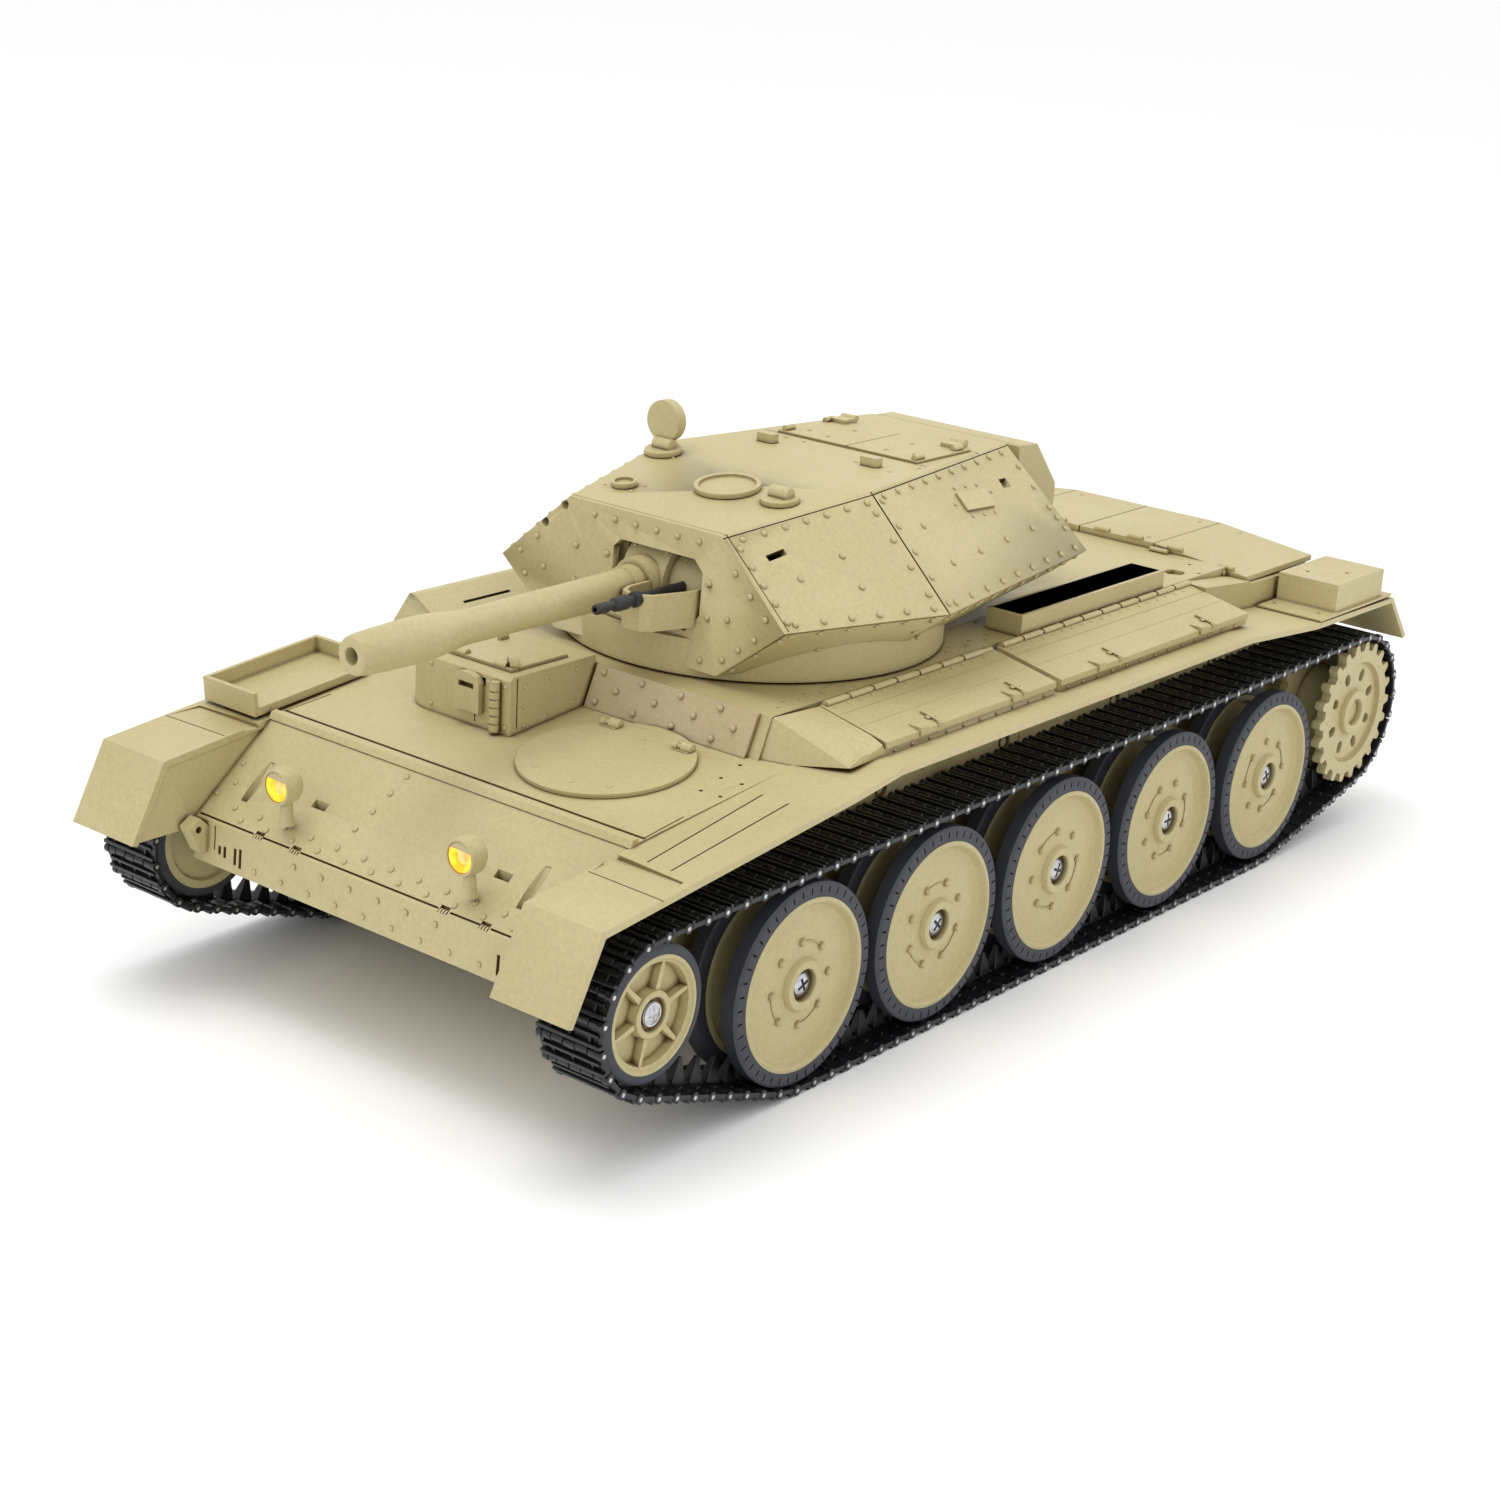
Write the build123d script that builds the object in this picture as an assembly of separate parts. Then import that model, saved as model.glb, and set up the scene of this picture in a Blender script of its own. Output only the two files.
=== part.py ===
"""A 1/16 scale radio-controlled cruiser tank: hull, turret, gun, running gear and drive, as separate pieces.

The tank points along -Y, +X is its own left side and +Z is up. The origin is on the ground, under the middle.
Lengths are in millimetres. Outlines of the hull are given as (y, z) points and extruded along X.
"""
from build123d import *
import math
import os

# Running gear
WHEEL_Y = (-107.9, -54.2, 0.0, 55.5, 110.6)
WHEEL_Z = 28.0
TYRE_R = 25.4
RIM_R = 21.7
DISC_OUT = (78.6, 83.5)
DISC_IN = (66.5, 71.4)
HUB_R = 6.2
AXLE_R = 2.0
RUN_FIT = 0.06
ARM_REACH = 17.0
ARM_RISE = 7.0
ARM_X = (61.6, 65.4)
IDLER = (-160.4, 36.6)
IDLER_PIN_R = 18.15
IDLER_R = 16.4
SPROCKET = (162.1, 36.6)
SPROCKET_PIN_R = 23.1
TEETH = 22
TOOTH_R = 22.1
TRACK_X = (65.1, 84.5)
TRACK_GROUND = 2.06
TRACK_INNER = 0.24
ROLLER_Y = (-27.0, 83.0)
ROLLER_R = 4.4

# Hull
HULL_X = 61.0
WALL = 2.2
SPLIT_Z = 46.0
BELLY_Z = 20.0
FENDER_X = 83.7
FENDER_T = 1.6
RIDGE = (-145.0, 66.7)
NOSE = (-170.0, 46.0)
DECK_END = (-91.5, 71.85)
ROOF_Z = 82.0
ROOF_X = 52.5
ROOF_FRONT_Y = -87.0
FENDER_Z = 74.3
BOX_X = (54.5, 75.0)
BOX_Z = (82.0, 77.8)
BOX_Y = ((-71.0, 2.6), (5.0, 102.0))
LID_T = 1.6
REAR_Y = 180.5
ENGINE_Y = (128.0, 168.0)
BAY_Z = 79.4

# Turret and gun
RING_Y = -31.0
RING_R = 51.0
SPIGOT_R = 37.5
WAIST_Z = 100.0
GUN_Z = 102.5
TRUNNION_Y = -66.0
MUZZLE_Y = -175.0
HATCH_Y = (5.0, 30.0)
HATCH_X = 24.2
TAIL = ((15.5, 84.0), (19.5, 88.8), (62.0, 92.0))
PORT_RING = (3.8, -49.2)
VENT_RING = (-19.6, -62.7)
PERISCOPES = ((21.4, -49.4), (-29.0, -37.0))
COAX = (12.0, 103.4)
COAX_TIP_Y = -107.0

# Glacis openings, underside screws and traverse gears
SLOT_X = (-27.7, 34.1)
SOCKET_X = (-50.2, 43.8)
SCREW_XY = [(sx * 50.0, y) for y in (-120.0, -30.0, 110.0) for sx in (-1, 1)]
GEAR_MODULE = 0.8
PINION_TEETH = 12
RING_TEETH = 84
PINION_Y = RING_Y + GEAR_MODULE * (RING_TEETH - PINION_TEETH) / 2


def side_extrude(points, x0, x1):
    """A solid with a (y, z) outline, between two planes across X."""
    face = Plane.YZ.offset(min(x0, x1)) * make_face(Polyline(*points, close=True))
    return extrude(face, abs(x1 - x0))


def block(x, y, z):
    """A box given by its ranges along X, Y and Z."""
    size = [abs(b - a) for a, b in (x, y, z)]
    centre = [(a + b) / 2 for a, b in (x, y, z)]
    return Pos(*centre) * Box(*size)


def rod_x(y, z, radius, x0, x1):
    """A round bar along X."""
    return Pos((x0 + x1) / 2, y, z) * Rot(0, 90, 0) * Cylinder(radius, abs(x1 - x0))


def rod_y(x, z, radius, y0, y1):
    """A round bar along Y."""
    return Pos(x, (y0 + y1) / 2, z) * Rot(90, 0, 0) * Cylinder(radius, abs(y1 - y0))


def rod_z(x, y, radius, z0, z1):
    """A round bar along Z."""
    return Pos(x, y, (z0 + z1) / 2) * Cylinder(radius, abs(z1 - z0))


def turned_x(profile, y, z):
    """A body of revolution about an axis along X, from (x, radius) points."""
    face = make_face(Polyline(*[(x, r) for x, r in profile], close=True))
    return Pos(0, y, z) * revolve(face, Axis.X)


def mirrored(solid):
    """The same piece on the other side of the tank."""
    return mirror(solid, about=Plane.YZ)


def both(solid):
    """The piece and its mirror image."""
    return [solid, mirrored(solid)]


def save(name, pieces):
    """Writes one named piece, or a group of like ones, to its own file."""
    solids = []
    for piece in pieces if isinstance(pieces, list) else [pieces]:
        solids += list(piece.solids())
    shape = solids[0] if len(solids) == 1 else Compound(children=solids)
    shape.label = name
    export_step(shape, f"parts/{name}.step")


# ---------------------------------------------------------------- running gear
def tangent_belt(circles):
    """The closed line round circles (y, z, r) taken clockwise as seen from +X, as arcs and straight runs."""
    n = len(circles)
    leave = []
    arrive = []
    for i in range(n):
        ya, za, ra = circles[i]
        yb, zb, rb = circles[(i + 1) % n]
        span = math.hypot(yb - ya, zb - za)
        along = math.atan2(zb - za, yb - ya)
        normal = along + math.pi / 2 + math.asin((rb - ra) / span)
        leave.append((ya + ra * math.cos(normal), za + ra * math.sin(normal), normal))
        arrive.append((yb + rb * math.cos(normal), zb + rb * math.sin(normal), normal))
    edges = []
    for i in range(n):
        y0, z0, a0 = arrive[i - 1]
        y1, z1, a1 = leave[i]
        while a1 > a0:
            a1 -= 2 * math.pi
        while a1 <= a0 - 2 * math.pi:
            a1 += 2 * math.pi
        mid = (a0 + a1) / 2
        cy, cz, cr = circles[i]
        top = (cy + cr * math.cos(mid), cz + cr * math.sin(mid))
        edges.append(ThreePointArc((y0, z0), top, (y1, z1)))
        edges.append(Line((y1, z1), arrive[i][:2]))
    return make_face(Wire(edges))


def belt_circles(grow):
    """The four circles that the track wraps, with its surface moved outwards by grow."""
    wheel_r = WHEEL_Z - TRACK_GROUND
    return [
        (*IDLER, IDLER_PIN_R + grow),
        (*SPROCKET, SPROCKET_PIN_R + grow),
        (WHEEL_Y[-1], WHEEL_Z, wheel_r + grow),
        (WHEEL_Y[0], WHEEL_Z, wheel_r + grow),
    ]


def track():
    """The left track as one closed band; its links and pins are the band's own width and thickness."""
    outer = tangent_belt(belt_circles(TRACK_GROUND))
    inner = tangent_belt(belt_circles(-TRACK_INNER))
    ring = Plane.YZ.offset(TRACK_X[0]) * (outer - inner)
    return extrude(ring, TRACK_X[1] - TRACK_X[0])


def road_wheel(y):
    """A double dished wheel with two rubber tyres and a bore for its axle."""
    xo0, xo1 = DISC_OUT
    xi0, xi1 = DISC_IN
    bore = AXLE_R + RUN_FIT
    half = [
        (xi0, bore), (xi0, HUB_R), (xi0 + 1.6, HUB_R), (xi0 + 1.6, RIM_R - 1.6), (xi0, RIM_R - 1.6), (xi0, RIM_R),
        (xi1, RIM_R), (xi1, RIM_R - 1.6), (xi0 + 3.2, RIM_R - 1.6), (xi0 + 3.2, HUB_R - 0.4),
        (xo1 - 3.2, HUB_R - 0.4), (xo1 - 3.2, RIM_R - 1.6), (xo0, RIM_R - 1.6), (xo0, RIM_R),
        (xo1, RIM_R), (xo1, RIM_R - 1.3), (xo1 - 1.5, RIM_R - 1.9), (xo1 - 1.1, HUB_R + 2.0),
        (xo1 - 0.9, HUB_R), (xo1 - 0.2, HUB_R - 0.6), (xo1 - 0.2, 3.6), (xo1 - 2.2, 3.6), (xo1 - 2.2, bore),
    ]
    wheel = turned_x(half, y, WHEEL_Z)
    bolt_circle = 10.4
    for k in range(8):
        a = math.radians(45 * k + 22.5)
        wheel += rod_x(
            y + bolt_circle * math.cos(a), WHEEL_Z + bolt_circle * math.sin(a), 0.75, xo1 - 2.6, xo1 - 0.3)
    tyres = [
        turned_x([(a, RIM_R), (b, RIM_R), (b, TYRE_R), (a, TYRE_R)], y, WHEEL_Z) for a, b in (DISC_OUT,
        DISC_IN)]
    return [wheel] + tyres


def swing_arm(y):
    """A suspension arm with its pivot pin in the hull side and its wheel axle and screw."""
    py, pz = y + ARM_REACH, WHEEL_Z + ARM_RISE
    a0, a1 = ARM_X
    length = math.hypot(ARM_REACH, ARM_RISE)
    tilt = math.degrees(math.atan2(ARM_RISE, ARM_REACH))
    web = Pos((a0 + a1) / 2, (y + py) / 2, (WHEEL_Z + pz) / 2) * Rot(tilt, 0, 0) * Box(a1 - a0, length, 7.0)
    arm = web + rod_x(y, WHEEL_Z, 4.6, a0, a1) + rod_x(py, pz, 5.2, a0, a1)
    arm += rod_x(py, pz, 2.4, HULL_X - 6.0, a0)
    arm += rod_x(y, WHEEL_Z, AXLE_R, a1, DISC_OUT[1] - 2.0)
    arm += rod_x(y, WHEEL_Z, 3.0, DISC_OUT[1] - 2.1, DISC_OUT[1] - 0.9)
    return arm


def idler():
    """A spoked front idler with two rims, two tyres and an axle into the hull."""
    y, z = IDLER
    bore = AXLE_R + RUN_FIT
    profile = [
        (67.4, bore), (67.4, 4.4), (68.6, 4.4), (68.6, 11.6), (67.4, 11.6), (67.4, 13.7), (71.0, 13.7), (71.0, 11.6),
        (70.2, 11.6), (70.2, 4.0), (80.0, 4.0), (80.0, 11.6), (79.0, 11.6), (79.0, 13.7), (82.5, 13.7), (82.5, 11.9),
        (81.4, 11.6), (81.4, 4.4), (82.3, 4.4), (82.3, 3.0), (81.0, 3.0), (81.0, bore),
    ]
    wheel = turned_x(profile, y, z)
    for k in range(6):
        a = math.radians(60 * k + 30)
        wheel -= rod_x(y + 8.0 * math.cos(a), z + 8.0 * math.sin(a), 2.9, 66.0, 84.0)
    tyres = [
        turned_x([(a, 13.7), (b, 13.7), (b, IDLER_R), (a, IDLER_R)], y, z) for a, b in ((67.4, 71.0), (79.0,
        82.5))]
    return [wheel] + tyres


def sprocket():
    """A rear drive sprocket: two toothed rings on a drum, with its output shaft."""
    y, z = SPROCKET
    profile = [
        (66.5, 0.0), (66.5, 19.6), (69.0, 19.6), (69.0, 12.0), (79.6, 12.0), (79.6, 19.6), (83.5, 19.6), (83.5, 17.6),
        (82.2, 17.0), (82.2, 7.0), (83.8, 6.6), (83.8, 4.2), (82.6, 4.2), (82.6, 0.0),
    ]
    drum = turned_x(profile, y, z)
    tooth_root = 19.4
    for x0, x1 in ((66.5, 69.0), (80.6, 83.5)):
        for k in range(TEETH):
            a = 360.0 / TEETH * (k + 0.5)
            tooth = extrude(
                make_face(Polyline((tooth_root, -1.9), (TOOTH_R, -0.9), (TOOTH_R, 0.9), (tooth_root, 1.9),
                close=True)), x1 - x0)
            drum += Pos(x0, y, z) * Rot(a, 0, 0) * Rot(0, 90, 0) * Rot(0, 0, 90) * tooth
    for k in range(8):
        a = math.radians(45 * k)
        drum -= rod_x(y + 12.6 * math.cos(a), z + 12.6 * math.sin(a), 2.4, 81.0, 85.0)
    drum += rod_x(y, z, 2.5, 47.0, 66.5)
    return drum


def build_running_gear():
    for side, place in (("left", lambda s: s), ("right", mirrored)):
        save(f"track_{side}", place(track()))
        save(f"sprocket_{side}", place(sprocket()))
        save(f"idler_{side}", [place(s) for s in idler()])
        for n, y in enumerate(WHEEL_Y, 1):
            save(f"wheel_{side}_{n}", [place(s) for s in road_wheel(y)])
            save(f"arm_{side}_{n}", place(swing_arm(y)))
    top_slope = (SPROCKET_PIN_R - IDLER_PIN_R) / (SPROCKET[0] - IDLER[0])
    rollers = []
    for y in ROLLER_Y:
        top = IDLER[1] + IDLER_PIN_R + top_slope * (y - IDLER[0]) - TRACK_INNER
        z = top - 0.35 - ROLLER_R
        roller = rod_x(y, z, ROLLER_R, 65.6, 70.0) + rod_x(y, z, ROLLER_R - 1.4, HULL_X, 65.6)
        rollers += both(roller)
    save("return_rollers", rollers)
    stub = rod_x(*IDLER, AXLE_R, HULL_X - WALL, 81.0) + rod_x(*IDLER, 5.0, HULL_X, 66.6)
    stub += rod_x(*IDLER, 2.8, 81.0, 81.9)
    save("idler_axles", both(stub))


# ---------------------------------------------------------------- hull
def lower_hull():
    """The chassis tub, with holes for arm pins, idler axles and sprocket shafts."""
    outer = [(-170.7, 35.0), NOSE, (REAR_Y, SPLIT_Z), (REAR_Y, 40.0), (140.0, BELLY_Z), (-135.0, BELLY_Z)]
    inner = [(-168.3, 36.4), (-167.9, 47.0), (178.3, 47.0), (178.3, 41.3), (139.3, 22.2), (-134.4, 22.2)]
    tub = side_extrude(outer, -HULL_X, HULL_X) - side_extrude(inner, -HULL_X + WALL, HULL_X - WALL)
    for side in (-1, 1):
        for y in WHEEL_Y:
            tub -= rod_x(y + ARM_REACH, WHEEL_Z + ARM_RISE, 2.4 + RUN_FIT, side * 55.0, side * 62.0)
        tub -= rod_x(*SPROCKET, 3.4, side * 55.0, side * 62.0)
        tub -= rod_x(*IDLER, AXLE_R, side * 55.0, side * 62.0)
    tub -= block((-26.0, 26.0), (20.0, 96.0), (BELLY_Z - 1.0, 23.0))
    tub -= block((-4.2, 4.2), (-61.3, -52.7), (BELLY_Z - 1.0, 23.0))
    for x, y in SCREW_XY:
        tub -= rod_z(x, y, 1.5, BELLY_Z - 1.0, 23.0)
    lug = side_extrude(
        [(-176.0, 45.0), (-172.6, 47.0), (-170.1, 44.6), (-170.5, 38.0), (-172.5, 38.0)], 56.0, 60.0)
    lug -= rod_x(-173.2, 44.2, 0.9, 55.0, 61.0)
    for piece in both(lug):
        tub += piece
    hook = side_extrude(
        [(REAR_Y, 42.0), (REAR_Y, 45.0), (REAR_Y + 5.0, 44.0), (REAR_Y + 5.0, 41.0)], -3.0, 3.0)
    return tub + hook


def fender():
    """The left track guard with its sloping front mudguard and rear flap."""
    t = FENDER_T
    top = [(-180.0, 62.3), DECK_END, (-75.0, FENDER_Z), (91.0, FENDER_Z), (130.3, 70.9), (178.0, 70.2)]
    under = [(y, z - t) for y, z in reversed(top[1:-1])]
    tail = [(189.9, 56.0), (188.4, 55.2), (177.2, 68.7)]
    front = [(-178.9, 60.6), (-188.4, 42.4), (-189.9, 42.9)]
    plate = side_extrude(top + tail + under + front, HULL_X - 0.5, FENDER_X)
    cheek = [(-180.0, 62.0), (-189.5, 43.1), (-171.5, 43.1), (-171.5, 45.0), (-146.0, 65.6)]
    plate += side_extrude(cheek, HULL_X, HULL_X + 1.5)
    return plate


def upper_hull_form(inset, floor):
    """The hull's upper body as a block, every face moved inwards by inset."""
    i = inset
    nose = [(NOSE[0] + 1.6 * i, floor), (RIDGE[0] + 0.4 * i, RIDGE[1] - i)]
    wide = nose + [
        (DECK_END[0], DECK_END[1] - i), (-75.0, FENDER_Z - 0.8 - i), (102.0 + i, FENDER_Z - 0.8 - i),
        (102.0 + i, ROOF_Z - i), (ENGINE_Y[0] - i, 79.3 - i), (ENGINE_Y[0] - i, BAY_Z - 0.8 - i),
        (ENGINE_Y[1] - 0.5 * i, BAY_Z - 1.8 - i), (REAR_Y - i, 62.0 - 0.5 * i),
        (REAR_Y - i, floor),
    ]
    tall = nose + [
        (DECK_END[0] + 0.3 * i, DECK_END[1] - i), (ROOF_FRONT_Y + i, ROOF_Z - i), (
            ENGINE_Y[0] - 0.2 - i, ROOF_Z - i),
        (ENGINE_Y[0] - 0.2 - i, BAY_Z - i), (ENGINE_Y[1] - 0.4 * i, BAY_Z - i),
        (REAR_Y - i, 62.0 - 0.5 * i), (REAR_Y - i, floor),
    ]
    body = side_extrude(wide, -HULL_X + i, HULL_X - i)
    return body + side_extrude(tall, -ROOF_X + i, ROOF_X - i)


def upper_hull():
    """The upper hull moulding: glacis, deck, roof with the turret opening, and both track guards."""
    shell = upper_hull_form(0.0, SPLIT_Z) - upper_hull_form(WALL, SPLIT_Z - 1.0)
    for piece in both(fender()):
        shell += piece
    strip = side_extrude(
        [(RIDGE[0] - 1.4, 66.0), (RIDGE[0] - 0.6, 67.7), (RIDGE[0] + 1.0, 67.9), (RIDGE[0] + 1.4, 66.0)],
        -61.0, 61.0)
    shell += strip
    shell -= rod_z(0.0, RING_Y, SPIGOT_R + 0.5, 75.0, 90.0)
    for x in SLOT_X:
        shell -= block((x - 2.4, x + 2.4), (-160.0, -158.2), (50.0, 60.0))
    for x in SOCKET_X:
        shell -= Pos(x, -159.2, 55.0) * Rot(-39.6, 0, 0) * Cylinder(1.5, 12.0)
    shell -= block((-31.0, -7.5), (-115.0, -93.0), (64.0, 90.0))
    return shell


def superstructure_plate():
    """The riveted sloping front plate of the superstructure, with three rows of rivets."""
    t = 1.2
    y0, z0 = DECK_END[0], DECK_END[1] + 0.05
    y1, z1 = ROOF_FRONT_Y, ROOF_Z
    lean = math.atan2(y1 - y0, z1 - z0)
    ny, nz = -math.cos(lean), math.sin(lean)
    outline = [(y0, z0), (y0 + t * ny, z0), (y1 + t * ny, z1 + t * nz - 0.3), (y1, z1)]
    plate = side_extrude(outline, -3.6, 49.0)
    for row, count in ((0.14, 4), (0.5, 4), (0.84, 4)):
        for k in range(count):
            x = -0.5 + 12.8 * k + (5.5 if row == 0.5 else 0.0)
            y = y0 + (y1 - y0) * row + t * ny
            z = z0 + (z1 - z0) * row + t * nz
            plate += Pos(min(x, 46.5), y, z) * Sphere(0.85)
    return plate


def cab_foot(y):
    """The height of the cab's lower edge at y, just over the sloping deck."""
    return 69.35 + 0.0963 * (y + 118.4)


def driver_cab():
    """The driver's cab: an open-backed box with a vision slit, a hinge post and a rounded cheek."""
    x0, x1 = -34.0, -4.5
    y0, y1 = -118.4, -91.9
    top = 84.3
    back = ROOF_FRONT_Y - 0.6
    outline = [(y0, cab_foot(y0)), (y1, cab_foot(y1)), (back, ROOF_Z + 0.3), (back, top), (y0 + 1.0, top)]
    outer = side_extrude(outline + [(y0, top - 1.0)], x0, x1)
    above_deck = [(y0 - 1.0, cab_foot(y0)), (y1, cab_foot(y1)), (y1, top), (y0 - 1.0, top)]
    cheek = rod_z(x0, y0 + 9.0, 9.0, 60.0, top - 1.2) & side_extrude(above_deck, -46.0, x0)
    cab = outer + cheek
    cab -= block((x0 + 2.0, x1 - 2.0), (y0 + 2.0, y1 - 1.4), (60.0, top - 2.0))
    cab -= block((x0 + 3.0, x1 - 3.0), (y0 + 3.4, y1 - 2.4), (70.0, 90.0))
    cab -= block((-19.0, -13.0), (y0 - 1.0, y0 + 4.0), (80.2, 82.4))
    post = rod_z(x1 - 4.2, y0 - 0.9, 1.2, cab_foot(y0) + 0.4, top - 1.5)
    return cab + post


def driver_hatch():
    """The flat hatch in the cab roof, on pins at its front edge."""
    x0, x1 = -31.0 + 0.3, -7.5 - 0.3
    y0, y1 = -115.0 + 0.3, -94.3 - 0.3
    lid = block((x0, x1), (y0, y1), (83.6, 85.2))
    lid += rod_x(y0 + 1.0, 85.3, 1.1, -14.0, -10.0)
    return lid + rod_x(y0 + 1.0, 85.3, 1.1, -28.0, -24.0)


def fender_box(y0, y1, wedge):
    """A hollow stowage box on the left guard, open under its lid, with an optional wedge nose."""
    xi, xo = BOX_X
    zi, zo = BOX_Z[0] - LID_T, BOX_Z[1] - LID_T
    floor = FENDER_Z + 0.02

    def bar(inset, bottom, lift):
        outline = [
            (xi + inset, bottom), (xo - inset, bottom), (xo - inset, zo + lift), (xi + inset, zi + lift)]
        section = Plane.XZ.offset(-(y0 + inset)) * make_face(Polyline(*outline, close=True))
        return extrude(section, -(y1 - y0 - 2 * inset))

    box = bar(0.0, floor, 0.0) - bar(1.4, floor + 1.2, 3.0)
    if wedge:
        tip = side_extrude([(y0, floor), (y0, zi), (y0 - 13.5, floor)], xi, xo)
        above = Polyline((xi, zi), (xo, zo), (xo, zi + 5.0), (xi, zi + 5.0), close=True)
        box += tip - extrude(Plane.XZ.offset(-y0) * make_face(above), 20.0, both=True)
    return box


def box_lid(y0, y1):
    """A flat lid that leans outwards, with a hinge line inboard, two latches and two ribs."""
    xi, xo = BOX_X
    zi, zo = BOX_Z[0] - LID_T + 0.02, BOX_Z[1] - LID_T + 0.02
    outline = [(xi, zi), (xo + 0.5, zo - 0.1), (xo + 0.5, zo + LID_T), (xi, zi + LID_T)]
    section = Plane.XZ.offset(-y0) * make_face(Polyline(*outline, close=True))
    lid = extrude(section, -(y1 - y0))
    lid += rod_y(xi + 0.4, zi + LID_T, 0.7, y0 + 1.0, y1 - 1.0)
    for k in (0.18, 0.72):
        y = y0 + (y1 - y0) * k
        lid += block((xo - 3.0, xo + 1.1), (y, y + 3.0), (zo + 0.4, zo + LID_T + 0.9))
    return lid


def right_front_box():
    """The louvred box on the right guard: a hollow prism with a ridge and a slotted inboard slope."""
    floor = FENDER_Z + 0.02
    def prism(inset, bottom, y0, y1):
        section = Plane.XZ.offset(-y0) * make_face(Polyline(
            (-82.6 + 1.6 * inset, bottom), (-58.0 - 2.0 * inset, bottom),
            (-74.0, 84.0 - 1.6 * inset), (-76.0, 84.0 - 1.6 * inset), close=True))
        return extrude(section, -(y1 - y0))
    box = prism(0.0, floor, -84.0, 2.6) - prism(1.4, floor + 1.2, -82.0, 0.6)
    for k in range(3):
        box -= Pos(-64.2 - 2.2 * k, -62.0, 77.8 + 1.35 * k) * Rot(0, 32, 0) * Box(0.9, 18.0, 8.0)
    return box


def tray(x, y, z, wall, floor, lean):
    """An open tray with a floor and low walls; a floor thicker than the walls runs out on the +X side."""
    inner_x = x[1] - wall if floor <= wall else x[1] + 1.0
    body = block(x, y, z)
    body -= block((x[0] + wall, inner_x), (y[0] + wall, y[1] - wall), (z[0] + floor, z[1] + 5.0))
    return Pos(0, y[0], z[0]) * Rot(lean, 0, 0) * Pos(0, -y[0], -z[0]) * body


def headlamp():
    """A round lamp body on a short stalk, open to the front for its lens."""
    y, z = -170.4, 61.4
    body = rod_y(31.0, z, 4.4, y, y + 6.2)
    body -= rod_y(31.0, z, 3.6, y - 1.0, y + 4.0)
    stalk = rod_z(31.0, y + 3.2, 1.3, 53.5, z - 4.0) & side_extrude(
        [(-172.0, 46.0), (-160.0, 56.1), (-160.0, 70.0), (-172.0, 70.0)], 20.0, 40.0)
    return body + stalk


def engine_covers():
    """Two flat centre covers and two side covers that lean outwards, over the engine bay."""
    y0, y1 = ENGINE_Y
    low, high = BAY_Z + 0.03, ROOF_Z + 2.0
    covers = []
    for sx in (-1, 1):
        covers.append(block(sorted((sx * 0.2, sx * 26.8)), (y0, y1), (low, high)))
        outline = [(27.1, low), (ROOF_X, low), (59.5, low - 0.75), (59.5, 80.4), (27.1, high)]
        side = Plane.XZ.offset(-y0) * make_face(Polyline(*[(sx * x, z) for x, z in outline], close=True))
        covers.append(extrude(side, -(y1 - y0)))
    return covers


def build_hull():
    save("lower_hull", lower_hull())
    save("upper_hull", upper_hull())
    save("superstructure_plate", superstructure_plate())
    save("driver_cab", driver_cab())
    save("driver_hatch", driver_hatch())
    boxes = [
        fender_box(*BOX_Y[0], True), fender_box(*BOX_Y[1], False), mirrored(fender_box(*BOX_Y[1], False))]
    save("fender_boxes", boxes + [right_front_box()])
    lids = [box_lid(*BOX_Y[0]), box_lid(*BOX_Y[1]), mirrored(box_lid(*BOX_Y[1]))]
    save("box_lids", lids)
    save("fender_tray", tray((-82.0, -62.5), (-149.5, -111.0), (66.4, 72.8), 1.3, 2.2, 5.5))
    save("deck_tray", tray((42.2, 53.9), (17.0, 89.5), (82.02, 88.0), 1.2, 1.2, 0.0))
    cover = Pos(24.5, -114.7, 69.65) * Rot(5.5, 0, 0) * Cylinder(
        21.9, 1.3, align=(Align.CENTER, Align.CENTER, Align.MIN))
    save("round_deck_cover", cover)
    save("headlamp_housings", both(headlamp()))
    save("headlamp_lenses", both(rod_y(31.0, 61.4, 3.55, -169.9, -166.45)))
    save("engine_covers", engine_covers())
    box = block((62.5, 82.4), (142.5, 171.7), (71.2, 80.2))
    flange = block((62.0, 83.4), (132.0, 177.0), (70.95, 71.7))
    save("rear_boxes", both(box + flange))


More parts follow.
